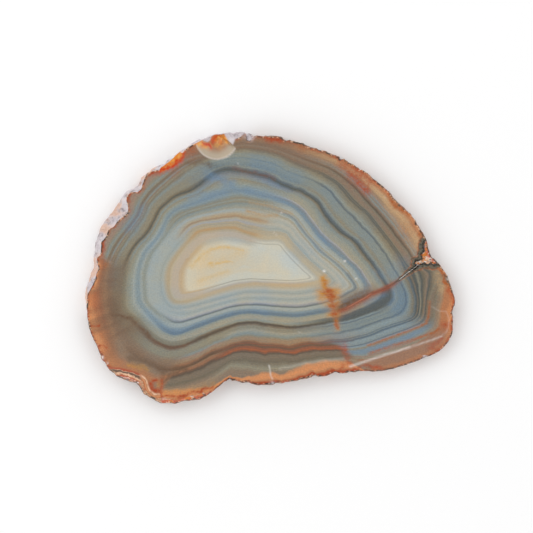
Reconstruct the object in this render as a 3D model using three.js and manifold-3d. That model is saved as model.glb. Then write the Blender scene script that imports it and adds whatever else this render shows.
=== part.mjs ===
// A slice cut across an agate nodule, lying flat with its polished face up.
// Units are millimetres. +X runs along the length, +Z up through the thickness, and the origin
// is on the underside at the middle of the slice's length and width.

import * as THREE from 'three';
import { mergeVertices } from 'three/addons/utils/BufferGeometryUtils.js';
import { ImprovedNoise } from 'three/addons/math/ImprovedNoise.js';
import Module from 'manifold-3d';

const wasm = await Module();
wasm.setup();

// Driving dimensions.
const THICKNESS = 5;
const RIM_COLUMNS = 300;
const EDGE_BREAK = 0.5; // width of the rounded edge where the face meets a sound rim
const EDGE_BREAK_SPREAD = 0.25; // how much that width wanders along the rim

// The widest outline, seen from above and counter-clockwise from the right-hand end.
const RIM = [
  [55.75, -9.5], [54.4, -5.5], [53.5, -2.3], [51.8, 0], [49.7, 2.6], [48.2, 4.5], [47.5, 7.2],
  [46.7, 9.7], [44.5, 13], [42.5, 16.2], [39.2, 19.3], [37.1, 21.2], [36, 22.9], [34.2, 24.6],
  [30.2, 28], [27.9, 29.6], [24.8, 31.5], [22.3, 33], [20.9, 33.6], [17.8, 34.7], [14.9, 35.6],
  [10.2, 37.6], [6.1, 38.7], [3.7, 39.5], [-0.1, 39.9], [-4.9, 39.7], [-6.2, 40.7], [-9, 41.1],
  [-12.6, 40.8], [-16.3, 40.5], [-19.9, 39.1], [-22.5, 38.1], [-24.8, 36.4], [-28.9, 34],
  [-31.1, 32.5], [-32.9, 31.1], [-36, 29.6], [-38.8, 27.2], [-40, 24.8], [-43, 23.3],
  [-45, 20.9], [-47.6, 16.7], [-50.7, 12.8], [-52.6, 7.8], [-52.8, 4.5], [-53.3, 3.3],
  [-53, 0.9], [-54.2, -2.4], [-55.4, -6.3], [-55.8, -8.8], [-55.3, -11.9], [-54.6, -17.5],
  [-53.3, -21.3], [-51.6, -24.9], [-50.2, -28], [-48.1, -30.9], [-45, -33], [-41.2, -34.5],
  [-39.5, -35.4], [-37.9, -38.1], [-35.9, -39.2], [-32.8, -40.8], [-28.6, -41.05],
  [-25.6, -40], [-21.2, -39.7], [-19.9, -38.8], [-18.2, -37.9], [-14.7, -35.2],
  [-12.1, -33.4], [-11.3, -34], [-8.1, -34.7], [-3.4, -35.4], [1.1, -35.3], [5.9, -34.4],
  [9.3, -33.6], [13.2, -32.4], [14.7, -32.9], [18.3, -32], [20.9, -31.8], [25.3, -31.4],
  [31.9, -31.1], [36, -30.6], [40, -29.6], [46, -27.2], [50, -25.6], [53.2, -23],
  [55, -19.2], [54.9, -13.3], [55.7, -10.7],
];

// Where the polished face stops well short of the rim, and the broken crust slopes out to it.
const BROKEN_EDGE = [
  [-19, 38.8], [-22.6, 37.1], [-24.8, 36], [-26.2, 34.4], [-28.9, 33], [-31.4, 31], [-33.4, 29],
  [-36.3, 28.8], [-37.6, 26.9], [-38.6, 23.6], [-39.7, 22.7], [-41.7, 22.6], [-43, 20.8],
  [-42.5, 17.7], [-43.1, 16], [-45.8, 13.8], [-48.4, 11.4], [-49.8, 8.5], [-50.7, 7.7],
  [-50.7, 4.5], [-51.9, 3.1], [-51.3, -0.2], [-52.2, -3], [-54.7, -7.8], [-55, -13.5],
];

// The side wall from the face down: height as a share of the thickness, and how far out the
// wall is at that height, as a share of the way from the face's edge to the rim.
const WALL = [
  { height: 1, out: 0 },
  { height: 0.93, out: 0.38 },
  { height: 0.79, out: 0.62 },
  { height: 0.63, out: 0.82 },
  { height: 0.46, out: 0.95 },
  { height: 0.3, out: 1 },
  { height: 0.14, out: 0.92 },
  { height: 0, out: 0.7 },
];
const RIM_HEIGHT = 0.3; // the wall is widest here, and carries the outline exactly
const LUMP_DEPTH = 0.35; // lumps and hollows of the crust on a steep wall
const LUMP_DEPTH_ON_SLOPE = 0.16; // extra depth for each millimetre that the wall slopes out
const LUMP_SIZE = 1.9;

// Shell-shaped scoops knocked out of the upper edge: radius at the face, and depth.
const CHIPS = [
  { x: -16, y: 39, radius: 6.7, depth: 3 },
  { x: -6.1, y: 40.5, radius: 2.3, depth: 1.2 },
  { x: -10.2, y: 41, radius: 2.6, depth: 1.5 },
  { x: 46.9, y: -27.2, radius: 1.5, depth: 0.7 },
  { x: 30.4, y: 28.3, radius: 1.2, depth: 0.6 },
  { x: -22.6, y: -40.3, radius: 1.9, depth: 0.9 },
  { x: 0.8, y: -35.6, radius: 1.7, depth: 0.8 },
];
const CHIP_RIPPLES = 3;
const CHIP_RIPPLE_SHARE = 0.02; // of the depth

// A hand-ground facet across the lower right corner: it starts at this line on the face.
const FACET_START = new THREE.Vector2(23.4, -30);
const FACET_END = new THREE.Vector2(53.8, -17.9);
const FACET_SLOPE = THREE.MathUtils.degToRad(11);

// Cracks, from their open end inwards: the middle line and the width at each point.
const FISSURE = {
  depth: 2.2,
  line: [
    { x: 45, y: 1.5, width: 1.1 },
    { x: 43, y: -0.2, width: 0.55 },
    { x: 41.3, y: -1.4, width: 0.45 },
    { x: 39.6, y: -2.8, width: 0.4 },
    { x: 38, y: -4, width: 0.25 },
    { x: 36, y: -5.3, width: 0.12 },
  ],
};
const LOWER_CLEFT = {
  depth: 1.4,
  line: [
    { x: -41.3, y: -35.6, width: 1.1 },
    { x: -40, y: -34.2, width: 0.6 },
    { x: -38.9, y: -33.6, width: 0.3 },
    { x: -37.6, y: -33.2, width: 0.12 },
  ],
};

// The ragged notch where the fissure meets the rim, sunk below the face and lined with crystals.
const NOTCH_DEPTH = 1.3;
const NOTCH = [
  [46.6, 9.6], [45.5, 8], [46, 6.8], [45.6, 5.5], [44.7, 4.9], [45.2, 3.7], [44.7, 2.6],
  [43.4, 2.3], [43.4, 1.5], [42.6, 0.2], [44.2, 0.4], [45.4, 0.9], [46.2, 1.4], [47, 0.9],
  [47.9, 1.3], [49.2, 0.9], [50, 1.2], [54, 1], [54, 9.6],
];
const CRYSTALS = [
  { x: 44.2, y: 1.4, radius: 0.8, height: 0.5 },
  { x: 45.3, y: 2.1, radius: 1.1, height: 0.8 },
  { x: 46.7, y: 2.6, radius: 1.3, height: 0.9 },
  { x: 48.3, y: 2.2, radius: 1.2, height: 0.7 },
  { x: 45.9, y: 4, radius: 1, height: 0.6 },
  { x: 47.2, y: 4.2, radius: 1.2, height: 0.8 },
  { x: 46.5, y: 5.8, radius: 1, height: 0.7 },
  { x: 46.5, y: 7.4, radius: 0.9, height: 0.6 },
];
const CRYSTAL_FACES = 6;
const CRYSTAL_TURN = 0.7; // radians from one crystal to the next

const CLEARANCE = 1; // how far cutters stand proud of what they cut

const noise = new ImprovedNoise();

// A closed mesh with its shared vertices merged, and no triangle that has two equal corners.
function solidFrom(geometry) {
  geometry.deleteAttribute('normal');
  geometry.deleteAttribute('uv');
  const merged = mergeVertices(geometry, 1e-4);
  const corners = merged.index.array;
  const kept = [];
  for (let i = 0; i < corners.length; i += 3) {
    const [a, b, c] = corners.subarray(i, i + 3);
    if (a !== b && b !== c && c !== a) kept.push(a, b, c);
  }
  return new wasm.Manifold(new wasm.Mesh({
    numProp: 3,
    vertProperties: new Float32Array(merged.attributes.position.array),
    triVerts: new Uint32Array(kept),
  }));
}

function geometryFrom(solid) {
  const { vertProperties, triVerts } = solid.getMesh();
  const geometry = new THREE.BufferGeometry();
  geometry.setAttribute('position', new THREE.BufferAttribute(vertProperties, 3));
  geometry.setIndex(new THREE.BufferAttribute(triVerts, 1));
  return geometry.toNonIndexed();
}

// How far an outline lies from the middle in one direction, or Infinity where it has a gap.
function reach(outline, angle) {
  const ray = new THREE.Vector2(Math.cos(angle), Math.sin(angle));
  for (let i = 0; i + 1 < outline.length; i += 1) {
    const start = new THREE.Vector2(...outline[i]);
    const side = new THREE.Vector2(...outline[i + 1]).sub(start);
    const across = ray.cross(side);
    const share = start.cross(ray) / across;
    const distance = start.cross(side) / across;
    if (share >= 0 && share <= 1 && distance > 0) return distance;
  }
  return Infinity;
}

// One point of the wall: its place between the face's edge and the rim, roughened by lumps.
function wallPoint(angle, faceRadius, rimRadius, { height, out }) {
  const slope = rimRadius - faceRadius;
  const radius = THREE.MathUtils.lerp(faceRadius, rimRadius, out);
  const point = new THREE.Vector3(Math.cos(angle), Math.sin(angle), 0).multiplyScalar(radius);
  point.z = height * THICKNESS;
  const inside = 4 * height * (1 - height);
  const offRim = Math.min(1, Math.abs(height - RIM_HEIGHT) * 8);
  const { x, y, z } = point.clone().divideScalar(LUMP_SIZE);
  const lump = (noise.noise(x, y, z) + 0.5 * noise.noise(2.3 * x, 2.3 * y, 2.3 * z)) * inside;
  const depth = LUMP_DEPTH + LUMP_DEPTH_ON_SLOPE * slope;
  const inward = depth * offRim * (lump - 0.5 * inside);
  point.x += inward * Math.cos(angle);
  point.y += inward * Math.sin(angle);
  point.z += depth * offRim * lump;
  return point;
}

// The slice before it is chipped: rings of points from the face's edge down to the underside,
// joined by the wall, and closed by two flat faces.
function blankSlice() {
  const rimCurve = new THREE.CatmullRomCurve3(
    RIM.map(([x, y]) => new THREE.Vector3(x, y, 0)), true, 'centripetal');
  const columns = rimCurve.getSpacedPoints(RIM_COLUMNS).slice(0, RIM_COLUMNS);
  const rings = WALL.map(() => []);
  for (const rim of columns) {
    const angle = Math.atan2(rim.y, rim.x);
    const rimRadius = Math.hypot(rim.x, rim.y);
    const wander = noise.noise(rim.x / 3, rim.y / 3, 7);
    const soundRadius = rimRadius - EDGE_BREAK - EDGE_BREAK_SPREAD * wander;
    const faceRadius = Math.min(soundRadius, reach(BROKEN_EDGE, angle));
    WALL.forEach((level, row) => {
      rings[row].push(wallPoint(angle, faceRadius, rimRadius, level));
    });
  }
  const points = rings.flat();
  const top = points.push(new THREE.Vector3(0, 0, THICKNESS)) - 1;
  const bottom = points.push(new THREE.Vector3(0, 0, 0)) - 1;
  const last = (WALL.length - 1) * RIM_COLUMNS;
  const corners = [];
  for (let i = 0; i < RIM_COLUMNS; i += 1) {
    const next = (i + 1) % RIM_COLUMNS;
    corners.push(top, i, next, bottom, last + next, last + i);
    for (let upper = 0; upper < last; upper += RIM_COLUMNS) {
      const lower = upper + RIM_COLUMNS;
      corners.push(upper + i, lower + i, lower + next, upper + i, lower + next, upper + next);
    }
  }
  const geometry = new THREE.BufferGeometry().setFromPoints(points);
  geometry.setIndex(corners);
  return solidFrom(geometry);
}

// A shallow bowl with faint rings, open above the face: the shape that a chip leaves.
function chipScoop({ x, y, radius, depth }) {
  const steps = Math.max(5, Math.round(radius * 2));
  const profile = [];
  for (let i = 0; i <= steps; i += 1) {
    const share = i / steps;
    const ripple = CHIP_RIPPLE_SHARE * depth * Math.sin(share * Math.PI * 2 * CHIP_RIPPLES);
    profile.push(new THREE.Vector2(share * radius, ripple - depth * (1 - share ** 2)));
  }
  profile.push(new THREE.Vector2(radius * 1.1, CLEARANCE), new THREE.Vector2(0, CLEARANCE));
  const sides = Math.max(14, Math.round(radius * 5));
  const geometry = new THREE.LatheGeometry(profile, sides);
  geometry.rotateX(Math.PI / 2);
  geometry.translate(x, y, THICKNESS);
  return solidFrom(geometry);
}

// A plate that holds everything above the facet's plane, outside the line where it starts.
function facetCutter() {
  const along = FACET_END.clone().sub(FACET_START);
  const middle = FACET_START.clone().add(FACET_END).multiplyScalar(0.5);
  const width = 14;
  const height = 4;
  const geometry = new THREE.BoxGeometry(along.length() * 1.5, width, height);
  geometry.translate(0, -width / 2, height / 2);
  geometry.rotateX(FACET_SLOPE);
  geometry.rotateZ(along.angle());
  geometry.translate(middle.x, middle.y, THICKNESS);
  return solidFrom(geometry);
}

// A plan outline sunk from above the face down to a depth.
function sunkOutline(outline, depth) {
  const shape = new THREE.Shape(outline.map(([x, y]) => new THREE.Vector2(x, y)));
  const geometry = new THREE.ExtrudeGeometry(shape, {
    depth: depth + CLEARANCE, bevelEnabled: false,
  });
  geometry.translate(0, 0, THICKNESS - depth);
  return solidFrom(geometry);
}

// A crack's plan outline is its middle line moved by half its width to each side.
function crackCutter({ line, depth }) {
  const sideOf = (side) => line.map((point, i) => {
    const before = line[Math.max(0, i - 1)];
    const after = line[Math.min(line.length - 1, i + 1)];
    const along = new THREE.Vector2(after.x - before.x, after.y - before.y).normalize();
    const half = side * point.width / 2;
    return [point.x - along.y * half, point.y + along.x * half];
  });
  return sunkOutline([...sideOf(1), ...sideOf(-1).reverse()], depth);
}

// A six-sided pyramid standing on the notch's floor.
function crystal({ x, y, radius, height }, index) {
  const root = 0.4;
  const geometry = new THREE.ConeGeometry(radius, height + root, CRYSTAL_FACES);
  geometry.rotateX(Math.PI / 2);
  geometry.rotateZ(index * CRYSTAL_TURN);
  geometry.translate(x, y, THICKNESS - NOTCH_DEPTH + (height - root) / 2);
  return solidFrom(geometry);
}

function agateSlice() {
  let solid = blankSlice();
  const cutters = [
    facetCutter(), sunkOutline(NOTCH, NOTCH_DEPTH), crackCutter(FISSURE), crackCutter(LOWER_CLEFT),
    ...CHIPS.map(chipScoop),
  ];
  for (const cutter of cutters) solid = solid.subtract(cutter);
  for (const grown of CRYSTALS.map(crystal)) solid = solid.add(grown);
  const polishedStone = new THREE.MeshStandardMaterial({
    color: 0x9d9283, roughness: 0.18, metalness: 0,
  });
  const mesh = new THREE.Mesh(geometryFrom(solid), polishedStone);
  mesh.name = 'agate_slice';
  return mesh;
}

const slice = new THREE.Group();
slice.add(agateSlice());

export default slice;
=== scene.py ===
import math

import bpy
import numpy as np
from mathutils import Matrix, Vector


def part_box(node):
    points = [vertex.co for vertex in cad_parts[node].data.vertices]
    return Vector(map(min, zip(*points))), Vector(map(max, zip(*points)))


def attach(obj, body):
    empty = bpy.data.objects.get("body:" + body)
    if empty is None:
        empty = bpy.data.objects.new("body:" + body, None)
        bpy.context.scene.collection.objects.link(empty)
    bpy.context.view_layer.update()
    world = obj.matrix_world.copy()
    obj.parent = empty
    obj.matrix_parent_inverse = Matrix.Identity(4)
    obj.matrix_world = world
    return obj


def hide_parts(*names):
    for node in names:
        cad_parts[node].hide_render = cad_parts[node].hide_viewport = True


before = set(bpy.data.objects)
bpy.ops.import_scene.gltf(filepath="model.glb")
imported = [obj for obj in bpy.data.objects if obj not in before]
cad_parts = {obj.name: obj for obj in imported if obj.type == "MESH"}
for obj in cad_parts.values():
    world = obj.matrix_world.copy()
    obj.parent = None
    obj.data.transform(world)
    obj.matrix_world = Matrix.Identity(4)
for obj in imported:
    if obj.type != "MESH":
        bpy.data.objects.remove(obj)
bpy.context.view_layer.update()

# The stone's outline.
# The slice is one saw cut across an agate nodule, and its rim is the nodule's natural skin. At the
# left the skin is broken back in a slope, and there the face ends at BROKEN_EDGE. In millimetres.
MM = 0.001
NODE = "agate_slice"
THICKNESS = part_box(NODE)[1].z / MM
MIDDLE = np.array([-8.0, 1.0])  # inside every band, and every band is seen whole from here
COLUMNS = 1000
EDGE_BREAK = 0.3  # mean width of the blunt edge between face and skin
RAGGEDNESS = 0.2
RAGGED_SIZE = 0.7
EDGE_WAVE_SIZE = 2.2
LATTICE_NUMBERS = 4096
LATTICE_STRIDES = (73, 911, 2741)
RIM_LINE = [
    (55.75, -9.5), (55.5, -8.5), (55.1, -7.5), (54.8, -6.3), (54.4, -5.5), (54, -4.1), (53.5, -2.3),
    (52.7, -1.2), (51.8, 0), (51.2, 1.1), (50.3, 2), (49.7, 2.6), (48.8, 3.3), (48.2, 4.5), (47.8, 5.7),
    (47.5, 7.2), (47.1, 8.5), (46.7, 9.7), (46, 10.8), (45.3, 11.8), (44.5, 13), (43.8, 14.25),
    (43.1, 15.2), (42.5, 16.2), (41.8, 16.8), (41, 17.6), (40.2, 18.4), (39.2, 19.25), (38.2, 20.1),
    (37.15, 21.2), (36.7, 22.05), (36, 22.9), (34.9, 23.85), (34.2, 24.6), (33.3, 25.2), (32.2, 26.2),
    (31.1, 27), (30.2, 28), (29.3, 28.6), (28.6, 29.1), (27.9, 29.6), (27.1, 29.5), (26.8, 30),
    (26.1, 30.5), (25.4, 31.05), (24.8, 31.5), (23.7, 31.8), (23.4, 32.2), (22.75, 32.6), (22.3, 33),
    (21.9, 32.8), (21.2, 32.9), (20.9, 33.6), (19.2, 34.1), (17.8, 34.65), (16.8, 35.3), (15.6, 35.5),
    (14.9, 35.6), (14, 36.15), (12.9, 36.4), (11.8, 36.7), (10.9, 37.1), (10.2, 37.6), (8.9, 37.8),
    (7.8, 38), (7.3, 38.3), (6.6, 38.3), (6.1, 38.7), (5.1, 38.4), (4.6, 38.6), (4.1, 38.85),
    (3.7, 39.5), (2.8, 39.7), (1.4, 39.8), (-0.1, 39.9), (-0.8, 39.7), (-1.2, 39.9), (-1.9, 39.6),
    (-3, 39.8), (-4, 39.9), (-4.9, 39.7), (-5.3, 40.2), (-6.2, 40.7), (-7.1, 40.6), (-7.9, 41),
    (-9, 41.1), (-10.2, 41), (-11.3, 40.7), (-12.6, 40.8), (-13.8, 40.7), (-15.1, 40.5), (-16.3, 40.55),
    (-17.6, 40.1), (-18.7, 39.7), (-19.9, 39.1), (-20.8, 38.7), (-21.7, 38.7), (-22.5, 38.1),
    (-23.5, 37.7), (-24.3, 37), (-24.8, 36.4), (-25.7, 35.9), (-26.8, 35.5), (-27.6, 34.8),
    (-28.4, 34.4), (-28.9, 34), (-29, 33.3), (-30, 33), (-31.1, 32.5), (-31.5, 31.6), (-32.9, 31.1),
    (-33.8, 30.9), (-34.5, 30.5), (-35.4, 30), (-36, 29.6), (-36.3, 29), (-37.1, 28.8), (-37.9, 28.05),
    (-38.8, 27.2), (-39.1, 26.3), (-39.3, 25.7), (-40, 24.8), (-41, 24), (-42.1, 23.6), (-43, 23.3),
    (-43.8, 22.6), (-44.4, 21.8), (-45, 20.9), (-45.3, 20.1), (-46.2, 18.9), (-46.9, 17.8),
    (-47.6, 16.7), (-48.9, 15.3), (-49.8, 14.2), (-50.7, 12.8), (-51.2, 11.8), (-51.6, 10.5),
    (-52.1, 9.2), (-52.6, 7.8), (-52.8, 6.3), (-52.8, 4.5), (-53.3, 3.3), (-53.2, 2), (-53, 0.9),
    (-53.1, 0), (-53.7, -0.9), (-54.2, -2.4), (-54.6, -3.7), (-55.1, -4.9), (-55.4, -6.3), (-55.7, -7.9),
    (-55.8, -8.8), (-55.5, -9.7), (-55.3, -10.6), (-55.3, -11.9), (-55.1, -13.3), (-54.9, -15),
    (-54.7, -16.4), (-54.6, -17.5), (-54.3, -18.7), (-53.8, -20), (-53.3, -21.3), (-52.7, -22.3),
    (-52.1, -23.6), (-51.6, -24.9), (-51.1, -26.1), (-50.9, -27.2), (-50.2, -28), (-49.8, -28.3),
    (-49.1, -29.9), (-48.1, -30.9), (-47, -31.7), (-46.1, -32.6), (-45, -33), (-43.8, -33.7),
    (-42.5, -34.1), (-41.2, -34.5), (-40.1, -34.7), (-39.5, -35.4), (-39, -36.2), (-38.5, -37.2),
    (-37.9, -38.1), (-36.9, -38.6), (-35.9, -39.2), (-34.9, -39.7), (-33.9, -40.3), (-32.8, -40.8),
    (-31.7, -40.8), (-30.6, -40.7), (-29.5, -40.7), (-28.6, -41.05), (-27.8, -40.7), (-26.9, -40.3),
    (-25.6, -40), (-24.4, -40.1), (-23, -39.8), (-21.2, -39.7), (-20.7, -39.4), (-19.9, -38.8),
    (-19, -38.6), (-18.2, -37.9), (-17.1, -37.2), (-16.4, -36.5), (-15.3, -35.7), (-14.7, -35.2),
    (-13.9, -34.4), (-13, -34), (-12.1, -33.4), (-11.3, -34), (-10.5, -34), (-9.2, -34.4), (-8.1, -34.7),
    (-7.1, -34.6), (-6.2, -34.5), (-5.5, -35), (-4.5, -35.2), (-3.4, -35.4), (-2.5, -35.2),
    (-1.5, -35.3), (0, -35.3), (1.1, -35.3), (1.8, -34.7), (2.9, -34.7), (3.9, -34.8), (4.8, -34.4),
    (5.9, -34.4), (7, -34.1), (8.2, -34), (9.3, -33.6), (10.4, -33.4), (11.7, -33.3), (12.6, -32.8),
    (13.2, -32.4), (13.9, -32.4), (14.7, -32.9), (16.2, -32.7), (17.3, -32.45), (18.3, -32),
    (19.2, -31.5), (20.2, -31.4), (20.9, -31.8), (22.3, -31.8), (23.4, -31.5), (24.4, -31.3),
    (25.3, -31.4), (26.5, -31.15), (28.4, -31.1), (29.9, -31.15), (31, -31.3), (31.9, -31.1),
    (33.2, -31.1), (34.6, -30.9), (36, -30.6), (37.2, -30.4), (38.1, -30), (39, -29.7), (40, -29.6),
    (41.1, -29.2), (42.6, -28.7), (44.2, -28.1), (46, -27.2), (47.6, -26.7), (49.2, -26), (50, -25.6),
    (50.8, -25.1), (52, -24.2), (53.2, -23), (54, -21.8), (54.6, -20.3), (55, -19.2), (55.1, -18),
    (55.1, -16.2), (55.1, -14.7), (54.9, -13.3), (55.2, -12.3), (55.4, -11.7), (55.7, -10.7),
]
BROKEN_EDGE = [
    (-5, 39.8), (-5.4, 38.8), (-6.1, 38.1), (-7.2, 38.4), (-7, 39.3), (-7.1, 40.3), (-7.6, 40.7),
    (-8.3, 40.3), (-8.7, 39.5), (-9.7, 39), (-10.4, 38.9), (-11.4, 39.4), (-12.4, 40.2), (-14, 40.4),
    (-16.3, 40.2), (-19, 39), (-20.8, 38.2), (-22.4, 37.3), (-23.1, 37), (-24.1, 36.4), (-24.8, 36),
    (-25.7, 35), (-26.2, 34.35), (-27, 34.8), (-27.9, 34.1), (-28.9, 33), (-30.2, 31.9), (-31.4, 31),
    (-32.7, 30.1), (-33.1, 29.4), (-33.4, 29), (-33.8, 29.4), (-34.7, 29.1), (-36.3, 28.8), (-37, 28),
    (-37.6, 26.9), (-37.9, 25.8), (-38.2, 25.1), (-38.4, 24.2), (-38.6, 23.6), (-39.2, 23.1),
    (-39.7, 22.65), (-40.6, 22.8), (-41.7, 22.6), (-42.2, 22.2), (-42.8, 21.5), (-43.05, 20.8),
    (-43, 19.9), (-42.6, 18.9), (-42.45, 17.7), (-42.6, 16.6), (-43.1, 16), (-44, 15.3), (-45.1, 14.5),
    (-45.8, 13.8), (-46.3, 13), (-46.8, 12.3), (-47.8, 11.9), (-48.4, 11.4), (-48.7, 10.5),
    (-49.1, 9.4), (-49.8, 8.5), (-50.7, 7.7), (-50.55, 6.7), (-50.7, 5.6), (-50.7, 4.5), (-51, 3.7),
    (-51.9, 3.1), (-51.8, 2), (-51.6, 0.9), (-51.3, -0.2), (-51.6, -0.9), (-52.1, -1.8), (-52.2, -3),
    (-52.7, -4.2), (-53.3, -5.4), (-54.1, -6.9), (-54.7, -7.8), (-54.8, -8.8), (-54.75, -10.1),
    (-54.9, -11.7), (-55, -13.5),
]


def walked(points):
    """The distance walked along a line to each of its points: the running sum of its stretches."""
    return np.concatenate([[0], np.cumsum(np.hypot(*np.diff(points, axis=0).T))])


def places_along(points, distances):
    """Places reached after walking each distance along straight stretches from point to point."""
    line = np.asarray(points, float)
    return np.stack([np.interp(distances, walked(line), line[:, axis]) for axis in (0, 1)], 1)


def polar(points):
    """Angles and distances of points, seen from the middle, in the order of their angles."""
    across = np.asarray(points, float) - MIDDLE
    angle = np.arctan2(across[:, 1], across[:, 0])
    order = np.argsort(angle)
    return angle[order], np.hypot(across[order, 0], across[order, 1])


def distance_along(points, angle, spacing=0.2):
    """A line's distance from the middle at each angle. Places at that spacing along the line are
    turned into angles and distances, and the nearest two are blended."""
    even_walk = np.arange(0, walked(points)[-1], spacing)
    known_angle, known_distance = polar(places_along(points, even_walk))
    return np.interp(angle, known_angle, known_distance, period=2 * math.pi)


def soften(values, columns):
    """A weighted mean around the ring: each value is blended with its neighbours by a bell curve."""
    reach = int(3 * columns)
    offsets = np.arange(-reach, reach + 1)
    weight = np.exp(-0.5 * (offsets / columns) ** 2)
    wrapped = np.concatenate([values[-reach:], values, values[:reach]])
    return np.convolve(wrapped, weight / weight.sum(), "valid")


def lattice_noise(x, y, z, size, seed):
    """Smooth random values from -1 to 1: one random number at each corner of a lattice of that
    size, blended across each cell by smoothsteps of the place inside it."""
    numbers = np.random.default_rng(seed).uniform(-1, 1, LATTICE_NUMBERS)
    place = [np.asarray(v, float) / size for v in (x, y, z)]
    cell = [np.floor(v).astype(np.int64) for v in place]
    inside = [v - c for v, c in zip(place, cell)]
    eased = [v * v * (3 - 2 * v) for v in inside]
    total = 0
    for corner in range(8):
        step = [(corner >> axis) & 1 for axis in range(3)]
        number = sum((c + s) * stride for c, s, stride in zip(cell, step, LATTICE_STRIDES))
        weight = 1
        for axis in range(3):
            weight = weight * (eased[axis] if step[axis] else 1 - eased[axis])
        total = total + weight * numbers[number % LATTICE_NUMBERS]
    return total


def place_at(distance):
    """The place at a distance from the middle, along the angle of each column."""
    return MIDDLE[0] + distance * np.cos(ANGLE), MIDDLE[1] + distance * np.sin(ANGLE)


rim_loop = RIM_LINE + RIM_LINE[:1]
even_walk = np.linspace(0, walked(rim_loop)[-1], COLUMNS, endpoint=False)
ANGLE, smooth_rim = polar(places_along(rim_loop, even_walk))
rim_x, rim_y = place_at(smooth_rim)
RIM = smooth_rim - RAGGEDNESS * (0.5 + 0.5 * lattice_noise(rim_x, rim_y, 0, RAGGED_SIZE, 3))
edge_width = EDGE_BREAK * (1 + 0.6 * lattice_noise(rim_x, rim_y, 0, EDGE_WAVE_SIZE, 4))
round_from_zero = ANGLE % (2 * math.pi)
broken_ends = np.array([BROKEN_EDGE[0], BROKEN_EDGE[-1]]) - MIDDLE
broken_from, broken_to = np.arctan2(broken_ends[:, 1], broken_ends[:, 0]) % (2 * math.pi)
is_broken = (round_from_zero > broken_from) & (round_from_zero < broken_to)
broken = np.where(is_broken, distance_along(BROKEN_EDGE, ANGLE), np.inf)
FACE_EDGE = np.minimum(RIM - edge_width, broken)

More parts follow.
